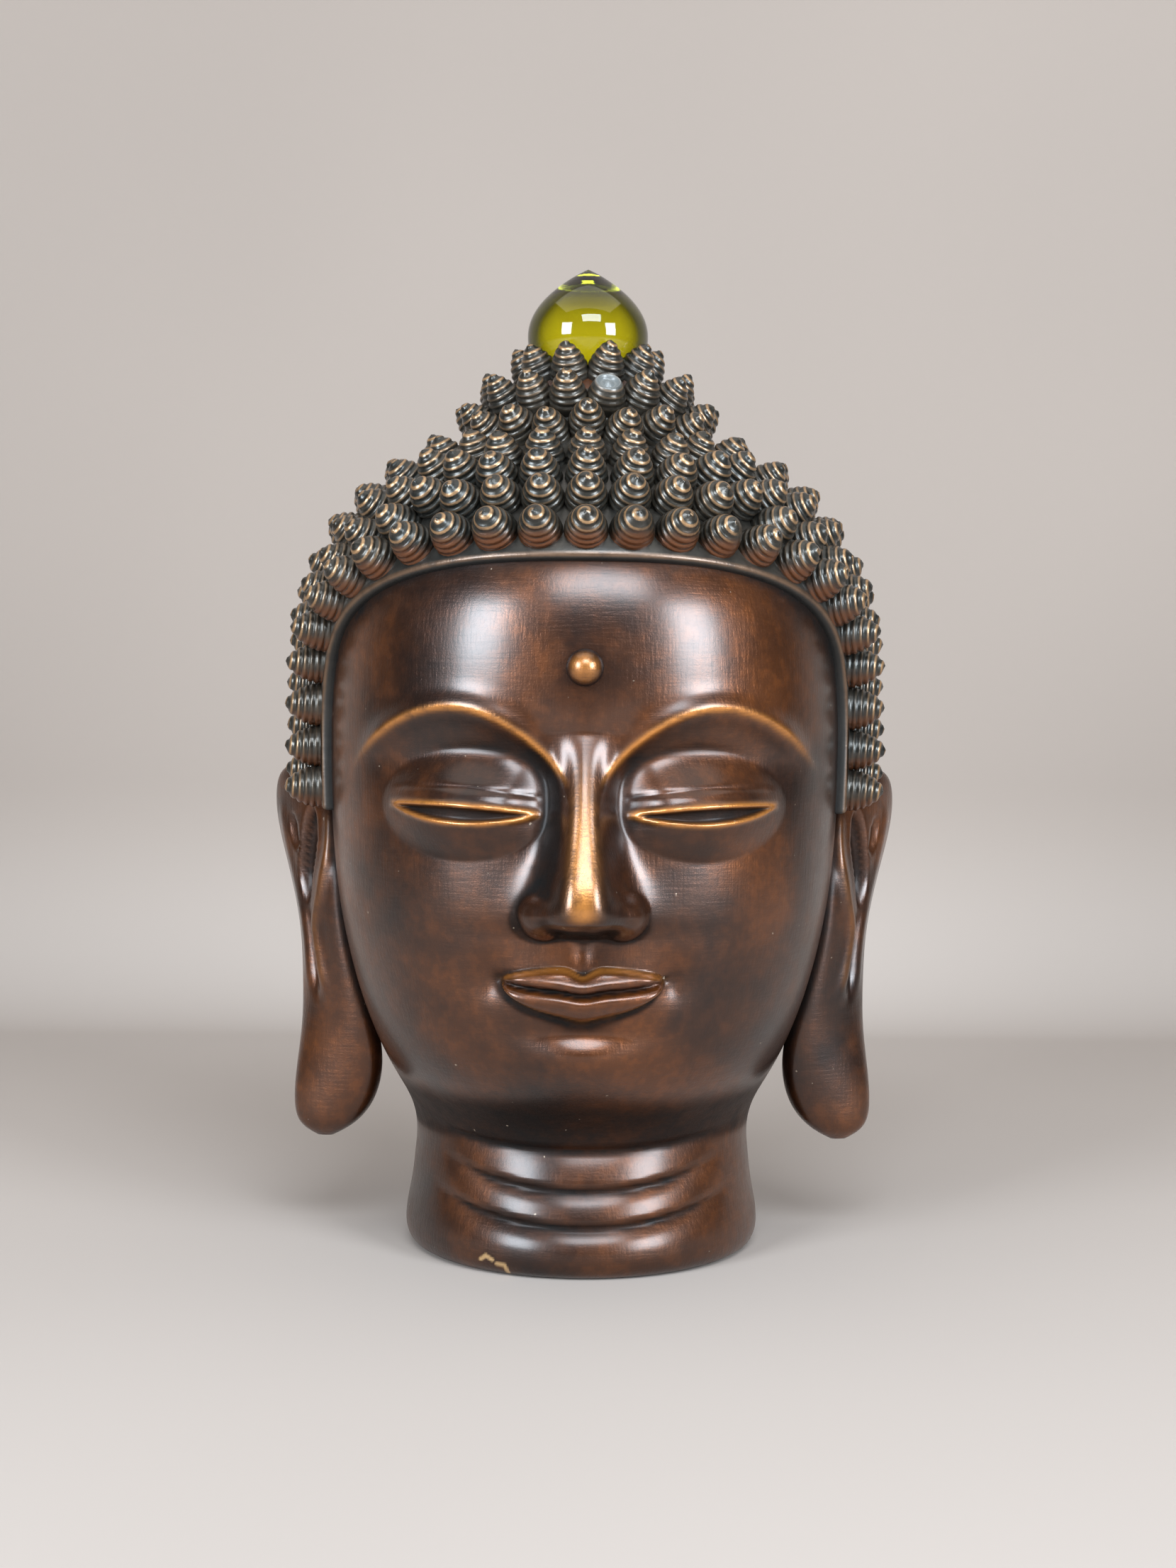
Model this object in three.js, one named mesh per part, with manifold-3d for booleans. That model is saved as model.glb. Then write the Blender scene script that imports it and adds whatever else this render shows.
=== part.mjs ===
// A cast copper temple head with snail-shell curls and a glass jewel on its crown. Millimetres, +Z up.
// The origin is the middle of the flat underside of the neck. The face looks along -Y.
// +X is to the viewer's right.
import * as THREE from "three";
import { mergeVertices } from "three/addons/utils/BufferGeometryUtils.js";
import Module from "manifold-3d";

const wasm = await Module();
wasm.setup();

// The face follows the old canon: twelve units wide, twelve and a half high, in three equal zones.
const unit = 14.2;
const hairlineZ = 240;
const faceHeight = 12.5 * unit;
const browZ = hairlineZ - faceHeight / 3;
const noseZ = hairlineZ - (2 * faceHeight) / 3;
const mouthZ = noseZ - faceHeight / 9;
const chinZ = hairlineZ - faceHeight;

// Rings of the head from the foot of the neck to the jewel's seat:
// height, half width, reach to the front, reach to the back, squareness of the ring.
const rings = [
  [0, 58.5, 60, 60, 2],
  [1.2, 61.2, 63, 62.6, 2],
  [4, 63, 65, 64.6, 2],
  [9, 63.6, 65.6, 65.4, 2],
  [20, 61.9, 63.2, 64.4, 2],
  [32, 60.4, 60.6, 63.6, 2],
  [43, 60, 59, 63, 2],
  [50, 61.5, 62.5, 63.4, 2.02],
  [58, 65.2, 70, 65, 2.06],
  [66, 69.6, 77.8, 68, 2.1],
  [76, 74.2, 83.6, 73, 2.16],
  [90, 79.4, 87, 80.5, 2.2],
  [105, 83.6, 88.8, 87, 2.2],
  [122, 87, 90.4, 92.6, 2.2],
  [142, 89.4, 92, 97, 2.2],
  [162, 90.6, 93.4, 99.6, 2.2],
  [184, 91, 94.6, 100.4, 2.2],
  [206, 90.4, 95, 99.8, 2.18],
  [224, 88.8, 93.8, 98, 2.14],
  [238, 84.2, 89.6, 93.8, 2.08],
  [249, 78.4, 82.8, 87.4, 2],
  [259, 71.2, 74, 79.2, 2],
  [267.5, 62.4, 63.8, 68.6, 2],
  [275, 51.8, 51.2, 55.6, 2],
  [282, 42, 40.4, 44.2, 2],
  [290, 37.6, 36, 39.2, 2],
  [298, 32.8, 31.8, 33.6, 2],
  [305, 25, 24.6, 25.2, 2],
  [311, 18, 18, 18, 2],
];

// The hair lies on the skull as a raised cap. It ends at the hairline, above the ears and at the nape.
// The cap is thinnest over the forehead, and towards the crown it thins out to nothing.
const degrees = THREE.MathUtils.degToRad;
const hairLift = [2.9, 3.7];
const liftTurns = [degrees(25), degrees(65)];
const liftEndsZ = 292;
const temple = degrees(74);
const hairCornerZ = 172;
const hairCornerPower = 2.7;
const sideburnZ = 156;
const napeZ = 96;
const behindEar = [degrees(94), degrees(104)];
const skullRadius = 88;

// Snail-shell curls, evened out on the cap of hair so that their upper halves are evenly apart.
// Down to the hairline they stand in rings. Two rings round the jewel leave the front centre free, and the others
// have a curl there. Below the hairline they stand in staggered columns, the first of them beside the face.
// At the crown the curls stand up, and lower down they reach out more level.
const curlPitch = 15.5;
const curlRowPitch = 14.6;
const crownRings = 2;
const sideColumns = 14;
const curlMargin = 8;
const firstColumn = temple + curlMargin / skullRadius;
const curlHeight = 13.2;
const curlReach = 8;
const levelZ = 262;
const standingZ = 292;
const levelling = 0.7;
const levelDroop = 0.03;
const standingLift = 0.25;
const firstRow = 0.05;
const lowestWay = 0.2;
const evenRounds = 60;
const evenPush = 0.3;
const settling = 0.12;

// The valleys between the curls lie above the cap, and past the outermost curls they sink under the skin.
const valleyRise = 1;
const borderDrop = 6;

// The glass jewel, as radius and height above its seat.
const seatZ = 311;
const jewelGap = 0.3;
const jewelProfile = [
  [0, 0],
  [13.5, 0],
  [18.4, 4],
  [21, 9],
  [21.6, 13.4],
  [20.8, 18.6],
  [16.9, 25.4],
  [10.2, 31.6],
  [4.2, 35.6],
  [0, 37.8],
];
const jewelSegments = 16;

// How finely the skin is divided: cells split until they follow the form this closely.
const skinColumns = 160;
const skinRows = 256;
const coarsestCell = 16;
const faceTolerance = 1;
const hairTolerance = 3.2;
const frontCrowding = 0.35;

const earRows = 18;
const earSides = 16;
const earRoundness = 0.7;
const earCrowding = 0.3;
const beadRadius = 6;
const beadSegments = 10;

const smooth = (lo, hi, x) => THREE.MathUtils.smoothstep(x, lo, hi);
const bell = (x, width) => Math.exp(-((x / width) ** 2));
const mix = THREE.MathUtils.lerp;

// A natural cubic spline through the points (xs, ys).
function spline(xs, ys) {
  const n = xs.length;
  const bend = new Array(n).fill(0);
  const carry = new Array(n).fill(0);
  for (let i = 1; i < n - 1; i++) {
    const before = xs[i] - xs[i - 1];
    const after = xs[i + 1] - xs[i];
    const share = before / (before + after);
    const pivot = share * bend[i - 1] + 2;
    bend[i] = (share - 1) / pivot;
    const turn = (ys[i + 1] - ys[i]) / after - (ys[i] - ys[i - 1]) / before;
    carry[i] = ((6 * turn) / (before + after) - share * carry[i - 1]) / pivot;
  }
  bend[n - 1] = 0;
  for (let i = n - 2; i >= 0; i--) bend[i] = bend[i] * bend[i + 1] + carry[i];
  return (x) => {
    let k = 0;
    while (k < n - 2 && x > xs[k + 1]) k++;
    const span = xs[k + 1] - xs[k];
    const a = (xs[k + 1] - x) / span;
    const b = (x - xs[k]) / span;
    const curve = (a ** 3 - a) * bend[k] + (b ** 3 - b) * bend[k + 1];
    return a * ys[k] + b * ys[k + 1] + (curve * span ** 2) / 6;
  };
}

// The rings as smooth functions of the way along the meridian, from 0 at the foot to 1 at the seat.
const stretch = rings.map((r, i) =>
  i
    ? Math.hypot(r[0] - rings[i - 1][0], (r[2] - rings[i - 1][2]) * 0.9)
    : 0,
);
const along = stretch.map((_, i) =>
  stretch.slice(0, i + 1).reduce((sum, d) => sum + d, 0),
);
const meridian = along[along.length - 1];
const places = along.map((d) => d / meridian);
const ring = [0, 1, 2, 3, 4].map((k) =>
  spline(
    places,
    rings.map((r) => r[k]),
  ),
);

// Signed distance in from the edge of the hair, in mm along the skull, positive in the hair.
function hairDepth(phi, z) {
  const across = Math.abs(phi) / temple;
  const up = Math.max(0, (z - hairCornerZ) / (hairlineZ - hairCornerZ));
  const p = hairCornerPower;
  const level = Math.max(1e-6, (across ** p + up ** p) ** (1 / p));
  const slope = Math.hypot(
    (across / level) ** (p - 1) / (temple * skullRadius),
    (up / level) ** (p - 1) / (hairlineZ - hairCornerZ),
  );
  const frontEdge = (level - 1) / Math.max(slope, 1e-3);
  const lowEdge =
    z - mix(sideburnZ, napeZ, smooth(behindEar[0], behindEar[1], Math.abs(phi)));
  return Math.min(frontEdge, lowEdge);
}

function capLift(phi, z) {
  const edgeLift = mix(...hairLift, smooth(...liftTurns, Math.abs(phi)));
  return edgeLift * (1 - smooth(hairlineZ + 10, liftEndsZ, z));
}

// Brow: a crisp arched ridge from the root of the nose out to the temple, sharper below than above.
const browPeakX = 3.05 * unit;
const browRise = 12;
const browArch = 0.0164;
const browHeight = 2.6;
function brow(x, z) {
  const out = Math.abs(x) - browPeakX;
  const line = browZ + browRise - browArch * out * out;
  const d = (z - line) / Math.hypot(1, 2 * browArch * out);
  const reach = smooth(4, 10, Math.abs(x)) * (1 - smooth(66, 80, Math.abs(x)));
  const rise = d > 0 ? bell(d, 4.6) : Math.exp(-Math.abs(d) / 2.6);
  return browHeight * rise * reach;
}

// Eye socket: a hollow under the brow, deepest by the nose. The lidded eyeball swells out of it.
const eyeX = 2.7 * unit;
const eyeZ = browZ - 20;
const eyeHalf = 1.55 * unit;
function socket(x, z) {
  const out = Math.abs(x);
  const hollow = bell(out - 0.9 * eyeX, 24) * bell(z - (eyeZ + 14), 11);
  const inner = bell(out - 14, 8) * bell(z - (eyeZ + 4), 15);
  return -5.4 * hollow - 5 * inner;
}
function eyeball(x, z) {
  const across = (Math.abs(x) - eyeX) / (1.3 * eyeHalf);
  const up = (z - eyeZ - 1) / 18.5;
  return 8.2 * Math.max(0, 1 - across * across - up * up) ** 1.35;
}

// Lids: the upper one is lowered over the eye, and a slit stays open above the fine rim of the lower one.
const lidRim = 1.1;
const slitDepth = 1.9;
function lids(x, z) {
  const t = (Math.abs(x) - eyeX) / eyeHalf;
  if (Math.abs(t) > 1.25) return 0;
  const bow = Math.max(0, 1 - t * t);
  const tilt = 1.2 * t;
  const upper = eyeZ - 0.6 + tilt + 1.4 * bow;
  const lower = eyeZ - 1.2 + tilt - 3.6 * bow;
  const reach = 1 - smooth(0.92, 1.16, Math.abs(t));
  const rims = bell(upper - z, 1.3) + 0.7 * bell(z - lower, 1.1);
  const inside = smooth(0, 1.1, z - lower) * smooth(0, 1.1, upper - z);
  return reach * (lidRim * rims - slitDepth * inside);
}

// Nose: a straight narrow bridge that widens to the tip, with round wings beside it.
const noseRise = spline(
  [...[-3, -0.5, 2, 6, 12, 24, 40].map((up) => noseZ + up), browZ - 6, browZ + 4],
  [0, 7, 17, 22, 21.5, 16, 9.4, 4.2, 0],
);
const noseWidth = spline(
  [...[-3, 4, 12, 24, 40].map((up) => noseZ + up), browZ - 4],
  [10, 11.4, 10.6, 8.6, 7.6, 8.4],
);
function nose(x, z) {
  const out = Math.abs(x);
  let rise = 0;
  if (z > noseZ - 3 && z < browZ + 4) {
    const flank = out / noseWidth(Math.min(z, browZ - 4));
    rise = Math.max(0, noseRise(z)) / (1 + flank ** 3.4);
  }
  const wing = Math.max(
    0,
    1 - ((out - 12.4) / 8.4) ** 2 - ((z - noseZ - 5) / 8.6) ** 2,
  );
  return Math.cbrt(rise ** 3 + (11 * wing ** 0.7) ** 3);
}

// Lips: a bow-shaped upper lip and a full lower lip, with a fine rim round both.
const mouthHalf = 1.85 * unit;
function lips(x, z) {
  const t = Math.abs(x) / mouthHalf;
  if (t > 1.3) return 0;
  const bow = Math.max(0, 1 - t * t);
  const line = mouthZ + 3 * t ** 2.4 - 1.2 * bell(x, 5);
  const top = line + 7.6 * bow ** 0.8 - 1.6 * bell(x, 3.4) * bow;
  const low = line - 8.8 * bow ** 0.62;
  const reach = 1 - smooth(0.9, 1.12, t);
  const upper = smooth(-1, 1.2, top - z) * smooth(-0.4, 0.4, z - line);
  const lower = smooth(-1, 1.2, z - low) * smooth(-0.4, 0.4, line - z);
  const upperSwell = 3 + 2.2 * bell(z - line - 2.4, 2.6);
  const lowerSwell = 2.6 + 2.8 * bell(z - line + 3.6, 3.2);
  const parting = -2.6 * bell(z - line, 0.9);
  return reach * (upper * upperSwell + lower * lowerSwell + parting);
}

// The soft forms round the mouth: cheeks, groove under the nose, crease under the lip, and chin.
function softForms(x, z) {
  const out = Math.abs(x);
  const cheek = 2.6 * bell(out - 46, 24) * bell(z - (noseZ + 4), 26);
  const corner = -2.4 * bell(out - mouthHalf - 3, 6) * bell(z - mouthZ - 3, 7);
  const groove = -1.1 * bell(x, 3) * bell(z - (noseZ - 7), 5);
  const muzzle = 2.6 * bell(x, 26) * bell(z - mouthZ, 15);
  const crease = -2.8 * bell(x, 17) * bell(z - (mouthZ - 14.5), 4.6);
  const chin = 3.6 * bell(x, 19) * bell(z - (chinZ + 14.5), 10);
  return cheek + corner + groove + muzzle + crease + chin;
}

// Three beauty lines round the front of the neck. Each is a crease that the roll above overhangs,
// with the roll below rising out of it slowly.
const folds = [
  { height: 43, span: degrees(70), curve: 7 },
  { height: 29.5, span: degrees(54), curve: 8.6 },
  { height: 17.6, span: degrees(58), curve: 9.6 },
];
const foldDepth = 2.3;
function neckFolds(phi, z) {
  return folds.reduce((sum, { height, span, curve }) => {
    const off = Math.abs(phi) / span;
    const above = z - height - curve * off * off;
    const reach = 1 - smooth(0.5, 1.04, off);
    const overhang = bell(Math.max(above, 0), 1.15);
    const slope = Math.exp(-((Math.max(-above, 0) / 3.7) ** 1.5));
    return sum - foldDepth * reach * overhang * slope;
  }, 0);
}

// The bare skin as a point for an angle from the front and a way along the meridian.
function skin(phi, way) {
  const [z, half, front, back, power] = ring.map((f) => f(way));
  const reach = Math.cos(phi) > 0 ? front : back;
  const r =
    ((Math.abs(Math.sin(phi)) / half) ** power +
      (Math.abs(Math.cos(phi)) / reach) ** power) **
    (-1 / power);
  const x = r * Math.sin(phi);
  let rise = neckFolds(phi, z);
  if (Math.cos(phi) > 0 && z > chinZ - 10 && z < hairlineZ)
    rise +=
      brow(x, z) +
      socket(x, z) +
      eyeball(x, z) +
      lids(x, z) +
      nose(x, z) +
      lips(x, z) +
      softForms(x, z);
  return new THREE.Vector3(
    (r + rise) * Math.sin(phi),
    -(r + rise) * Math.cos(phi),
    z,
  );
}

// A closed solid from shared points and triangles.
function solid(points, triangles) {
  return new wasm.Manifold(
    new wasm.Mesh({
      numProp: 3,
      vertProperties: new Float32Array(points.flatMap((p) => [p.x, p.y, p.z])),
      triVerts: new Uint32Array(triangles.flat()),
    }),
  );
}

function solidOf(geometry) {
  const bare = geometry.clone();
  bare.deleteAttribute("normal");
  bare.deleteAttribute("uv");
  const merged = mergeVertices(bare, 1e-4);
  return new wasm.Manifold(
    new wasm.Mesh({
      numProp: 3,
      vertProperties: merged.attributes.position.array,
      triVerts: new Uint32Array(merged.index.array),
    }),
  );
}

function geometryOf(manifold) {
  const mesh = manifold.getMesh();
  const positions = new Float32Array(mesh.numVert * 3);
  for (let i = 0; i < mesh.numVert; i++)
    positions.set(
      mesh.vertProperties.subarray(i * mesh.numProp, i * mesh.numProp + 3),
      i * 3,
    );
  const geometry = new THREE.BufferGeometry();
  geometry.setAttribute("position", new THREE.BufferAttribute(positions, 3));
  geometry.setIndex(new THREE.BufferAttribute(mesh.triVerts, 1));
  geometry.computeVertexNormals();
  return geometry;
}

// Angle of a lattice column, from the back round to the back: the columns crowd together at the front.
function columnAngle(i) {
  const turn = (2 * Math.PI * i) / skinColumns - Math.PI;
  return turn - frontCrowding * Math.sin(turn);
}

// The skin on a lattice whose cells are as large as the form allows, closed flat below and above.
function skinSolid() {
  const lattice = [];
  for (let i = 0; i < skinColumns; i++) {
    lattice.push([]);
    for (let j = 0; j <= skinRows; j++)
      lattice[i].push(skin(columnAngle(i), j / skinRows));
  }
  const at = (i, j) => lattice[i % skinColumns][j];
  const flat = new THREE.Vector3();
  function strays(i, j, size) {
    const middle = at(i + size / 2, j + size / 2);
    const angle = Math.atan2(middle.x, -middle.y);
    const behind = smooth(0.4 * Math.PI, 0.55 * Math.PI, Math.abs(angle));
    const covered = smooth(0, size, hairDepth(angle, middle.z));
    const allowed = mix(faceTolerance, hairTolerance, Math.max(behind, covered));
    for (let a = 0; a <= size; a++)
      for (let b = 0; b <= size; b++) {
        const u = a / size;
        const v = b / size;
        flat.set(0, 0, 0);
        flat.addScaledVector(at(i, j), (1 - u) * (1 - v));
        flat.addScaledVector(at(i + size, j), u * (1 - v));
        flat.addScaledVector(at(i, j + size), (1 - u) * v);
        flat.addScaledVector(at(i + size, j + size), u * v);
        if (at(i + a, j + b).distanceTo(flat) > allowed) return true;
      }
    return false;
  }
  const cells = [];
  const used = new Set();
  const key = (i, j) => (i % skinColumns) * (skinRows + 1) + j;
  function divide(i, j, size) {
    if (size > 1 && strays(i, j, size)) {
      const half = size / 2;
      for (const [di, dj] of [[0, 0], [half, 0], [0, half], [half, half]])
        divide(i + di, j + dj, half);
      return;
    }
    cells.push([i, j, size]);
    for (const [di, dj] of [[0, 0], [size, 0], [0, size], [size, size]])
      used.add(key(i + di, j + dj));
  }
  for (let i = 0; i < skinColumns; i += coarsestCell)
    for (let j = 0; j < skinRows; j += coarsestCell) divide(i, j, coarsestCell);

  const points = [];
  const index = new Map();
  function vertex(i, j) {
    const k = key(i, j);
    if (!index.has(k)) index.set(k, points.push(at(i, j)) - 1);
    return index.get(k);
  }
  const triangles = [];
  for (const [i, j, size] of cells) {
    const edge = [];
    for (let s = 0; s < size; s++) edge.push([i + s, j]);
    for (let s = 0; s < size; s++) edge.push([i + size, j + s]);
    for (let s = size; s > 0; s--) edge.push([i + s, j + size]);
    for (let s = size; s > 0; s--) edge.push([i, j + s]);
    const loop = edge.filter(([a, b]) => used.has(key(a, b)));
    const around = loop.map(([a, b]) => vertex(a, b));
    if (around.length === 4) {
      const [p, q, r, s] = around;
      triangles.push([p, q, r], [p, r, s]);
      continue;
    }
    const middle = vertex(i + size / 2, j + size / 2);
    around.forEach((p, k) =>
      triangles.push([middle, p, around[(k + 1) % around.length]]),
    );
  }
  for (const [j, up] of [[0, false], [skinRows, true]]) {
    const rim = [];
    for (let i = 0; i < skinColumns; i++) if (used.has(key(i, j))) rim.push(vertex(i, j));
    const middle = points.push(new THREE.Vector3(0, 0, up ? seatZ : 0)) - 1;
    rim.forEach((p, k) => {
      const next = rim[(k + 1) % rim.length];
      triangles.push(up ? [middle, p, next] : [middle, next, p]);
    });
  }
  return solid(points, triangles);
}

// Directions on the skin at a place: east with the angle, north with the way, and straight out.
function frameAt({ phi, way }) {
  const step = 1e-3;
  const east = skin(phi + step, way).sub(skin(phi - step, way)).divideScalar(2 * step);
  const north = skin(phi, way + step).sub(skin(phi, way - step)).divideScalar(2 * step);
  const out = east.clone().cross(north).normalize();
  return { east, north, out };
}

// Girth of the head at a way along the meridian, measured a little above the skin.
function girth(way, above) {
  return Math.PI * (ring[1](way) + (ring[2](way) + ring[3](way)) / 2 + 2 * above);
}

// Places from the crown down. Those in the hair get a curl, and the rest fence it in.
function firstPlaces() {
  const wayStep = curlRowPitch / meridian;
  const grid = [];
  let way = 1 - firstRow * wayStep;
  for (let row = 0; ring[0](way) > hairlineZ; row++) {
    const count = 2 * Math.round(girth(way, curlReach) / curlPitch / 2);
    const start = row < crownRings ? 0.5 : 0;
    for (let k = 0; k < count; k++) grid.push({ phi: (2 * Math.PI * (k + start)) / count, way });
    way -= wayStep;
  }
  const top = way + 0.25 * wayStep;
  const columnStep = (Math.PI - firstColumn) / sideColumns;
  const drop = curlPitch / meridian;
  for (let k = -sideColumns - 6; k <= sideColumns + 6; k++)
    for (let down = top - (Math.abs(k % 2) * drop) / 2; down > lowestWay; down -= drop)
      grid.push({ phi: Math.PI + k * columnStep, way: down });
  return grid
    .map(({ phi, way }) => {
      const turned = phi > Math.PI ? phi - 2 * Math.PI : phi;
      const depth = hairDepth(turned, ring[0](way));
      return { phi: turned, way, depth, curl: depth > 0.62 * curlMargin };
    })
    .filter(({ curl, depth }) => curl || (depth > -2 * curlPitch && depth < -0.4 * curlMargin));
}

// Moves a place to the margin from the edge of the hair if it is nearer to it, and lets curls settle to it.
function keepMargin(place) {
  const reach = 0.5;
  const z = ring[0](place.way);
  const depthAt = (across, up) => hairDepth(place.phi + across / skullRadius, z + up);
  const depth = depthAt(0, 0);
  const settled = -settling * (1 - smooth(curlMargin, 3 * curlPitch, depth));
  const inwards = place.curl
    ? Math.max(curlMargin - depth, settled)
    : Math.min(-curlMargin - depth, 0);
  const acrossGain = (depthAt(reach, 0) - depthAt(-reach, 0)) / (2 * reach);
  const upGain = (depthAt(0, reach) - depthAt(0, -reach)) / (2 * reach);
  const gain = Math.max(acrossGain ** 2 + upGain ** 2, 0.1);
  place.phi += (inwards * acrossGain) / gain / skullRadius;
  place.way += (inwards * upGain) / gain / meridian;
}

// Pushes places apart once, a little towards an even spacing.
function evenOut(places, highest) {
  const frames = places.map(frameAt);
  const at = places.map(({ phi, way }, k) => skin(phi, way).addScaledVector(frames[k].out, curlReach));
  const push = places.map(() => new THREE.Vector3());
  for (let a = 0; a < places.length; a++)
    for (let b = a + 1; b < places.length; b++) {
      const apart = at[a].distanceTo(at[b]);
      if (apart > curlPitch) continue;
      const shove = at[a].clone().sub(at[b]).multiplyScalar(evenPush * (curlPitch / apart - 1));
      push[a].add(shove);
      push[b].sub(shove);
    }
  places.forEach((place, k) => {
    const { east, north } = frames[k];
    place.phi += push[k].dot(east) / east.lengthSq();
    place.way = Math.min(place.way + push[k].dot(north) / north.lengthSq(), highest);
    keepMargin(place);
  });
}

// Places evenly apart, each with its root on the cap of hair and the axis of its curl.
function hairPlaces() {
  const places = firstPlaces();
  const highest = Math.max(...places.map((p) => p.way));
  for (let round = 0; round < evenRounds; round++) evenOut(places, highest);
  return places.map((place) => {
    const { out } = frameAt(place);
    const z = ring[0](place.way);
    const root = skin(place.phi, place.way).addScaledVector(out, capLift(place.phi, z));
    const axis = out.clone();
    axis.z = mix(levelling * out.z - levelDroop, out.z + standingLift, smooth(levelZ, standingZ, z));
    return { ...place, root, out, axis: axis.normalize() };
  });
}

// Lays the skull out flat, crown in the middle, so that small circles on it stay circles.
const spreadSteps = 200;
const spread = [0];
for (let i = 1; i <= spreadSteps; i++) {
  const half = ring[1](1 - (i - 0.5) / spreadSteps);
  spread.push(spread[i - 1] + meridian / spreadSteps / half);
}
function laidFlat({ phi, way }) {
  const down = (1 - way) * spreadSteps;
  const step = Math.floor(down);
  const radius = Math.exp(mix(spread[step], spread[step + 1], down - step));
  return [radius * Math.sin(phi), -radius * Math.cos(phi)];
}

// The circle through three points of the plane, with the names of its corners.
function circleOf(points, corners) {
  const [[ax, ay], [bx, by], [cx, cy]] = corners.map((k) => points[k]);
  const double = 2 * ((bx - ax) * (cy - ay) - (cx - ax) * (by - ay));
  const b = (bx - ax) ** 2 + (by - ay) ** 2;
  const c = (cx - ax) ** 2 + (cy - ay) ** 2;
  const x = ((cy - ay) * b - (by - ay) * c) / double;
  const y = ((bx - ax) * c - (cx - ax) * b) / double;
  return { corners, x: ax + x, y: ay + y, square: x * x + y * y };
}

// Delaunay triangles of points in the plane, which are added one by one. Their corners run anticlockwise.
function triangulate(points) {
  const n = points.length;
  const far = 1e4;
  const all = [...points, [-far, -far], [far, -far], [0, far]];
  let circles = [circleOf(all, [n, n + 1, n + 2])];
  points.forEach(([x, y], added) => {
    const rim = new Map();
    const struck = circles.filter((c) => (x - c.x) ** 2 + (y - c.y) ** 2 < c.square);
    for (const { corners } of struck)
      corners.forEach((a, k) => {
        const b = corners[(k + 1) % 3];
        if (!rim.delete(`${b} ${a}`)) rim.set(`${a} ${b}`, [a, b]);
      });
    circles = circles.filter((c) => !struck.includes(c));
    for (const [a, b] of rim.values()) circles.push(circleOf(all, [a, b, added]));
  });
  return circles.map((c) => c.corners).filter((corners) => corners.every((k) => k < n));
}

// The middle of a triangle of places, where the hair is lowest.
function valleyAt(three) {
  const rise = three.every(({ curl }) => curl) ? valleyRise : -borderDrop;
  const valley = new THREE.Vector3();
  for (const { root, out } of three) valley.addScaledVector(root, 1 / 3).addScaledVector(out, rise / 3);
  return valley;
}

// The hair as one solid. Each curl is a point rising from the valleys between it and its neighbours.
// The solid closes on a point inside the head.
function hairSolid() {
  const places = hairPlaces();
  const crown = { root: new THREE.Vector3(0, 0, seatZ), out: new THREE.Vector3(0, 0, 1), curl: false };
  const all = [...places, crown];
  const flat = [...places.map(laidFlat), [0, 0]];
  const corners = triangulate(flat);
  const points = [new THREE.Vector3(0, 0, (napeZ + seatZ) / 2)];
  const valleys = corners.map((three) => points.push(valleyAt(three.map((k) => all[k]))) - 1);
  const bearing = (t, own) => {
    const x = corners[t].reduce((sum, k) => sum + flat[k][0] / 3, 0);
    const y = corners[t].reduce((sum, k) => sum + flat[k][1] / 3, 0);
    return Math.atan2(y - flat[own][1], x - flat[own][0]);
  };
  const triangles = [];
  places.forEach(({ curl, root, axis }, own) => {
    if (!curl) return;
    const tip = points.push(root.clone().addScaledVector(axis, curlHeight)) - 1;
    const around = [...corners.keys()].filter((t) => corners[t].includes(own));
    around.sort((s, t) => bearing(s, own) - bearing(t, own));
    around.forEach((t, k) => {
      const next = around[(k + 1) % around.length];
      const beyond = corners[t].find((c) => c !== own && corners[next].includes(c));
      triangles.push([tip, valleys[t], valleys[next]]);
      if (!all[beyond].curl) triangles.push([0, valleys[next], valleys[t]]);
    });
  });
  const used = [...new Set(triangles.flat())];
  const renumber = new Map(used.map((k, i) => [k, i]));
  return solid(
    used.map((k) => points[k]),
    triangles.map((t) => t.map((k) => renumber.get(k))),
  );
}

// One ear as a twisted plate: height, inner edge x and y, outer edge x and y, thickness.
const earStations = [
  [171.5, 97, 8, 103, 13, 3],
  [168.5, 92, 2, 110.6, 19, 8],
  [160, 89, -3, 113.6, 25, 10.5],
  [147, 87.5, -8, 112.2, 26, 11.5],
  [130, 86, -12, 107, 21, 12],
  [112, 84, -13, 102.4, 15, 12.5],
  [95, 80, -13, 101, 11, 13.5],
  [78, 75, -12, 101.2, 7, 15],
  [62, 73, -9.5, 103.2, 4, 16],
  [49, 76.4, -7, 104.2, 2, 15],
  [41, 83, -5, 102, 0, 11.5],
  [36.8, 90, -3.4, 96, -2.6, 4],
];
const earDown = earStations.map((s, i) => i / (earStations.length - 1));
const ear = [0, 1, 2, 3, 4, 5].map((k) =>
  spline(
    earDown,
    earStations.map((s) => s[k]),
  ),
);

// Carving of the ear. A place across it is a share of the width that shows from the front, from cheek to rim.
// The fore ridge winds down from the cheek to the middle. Behind it lies the hollow, and further down
// a long groove sets off the rim.
const earHollowZ = 138;
const foreRidgeAt = spline(
  [30, 92, 105, 114, 123, 132, 141, 155, 172],
  [0.56, 0.58, 0.6, 0.57, 0.4, 0.24, 0.1, 0.04, 0.04],
);
const hollowAt = spline([30, 114, 123, 132, 141, 155, 172], [0.72, 0.72, 0.69, 0.6, 0.47, 0.36, 0.36]);
function earCarving(z, seen) {
  const lower = smooth(84, 98, z);
  const carved = (1 - smooth(150, 160, z)) * lower;
  const off = ((seen - hollowAt(z)) / 0.15) ** 2 + ((z - earHollowZ) / 18) ** 2;
  const hollow = 1 - smooth(0.3, 1.15, off);
  const groove = bell(seen - 0.74, 0.055) * lower * (1 - smooth(114, 126, z));
  const rim = bell(seen - 0.87, 0.06) * carved;
  const ridge = bell(seen - foreRidgeAt(z), 0.09) * carved;
  return 1.5 * ridge + 0.7 * rim - 4.4 * hollow - 1.9 * groove;
}

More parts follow.
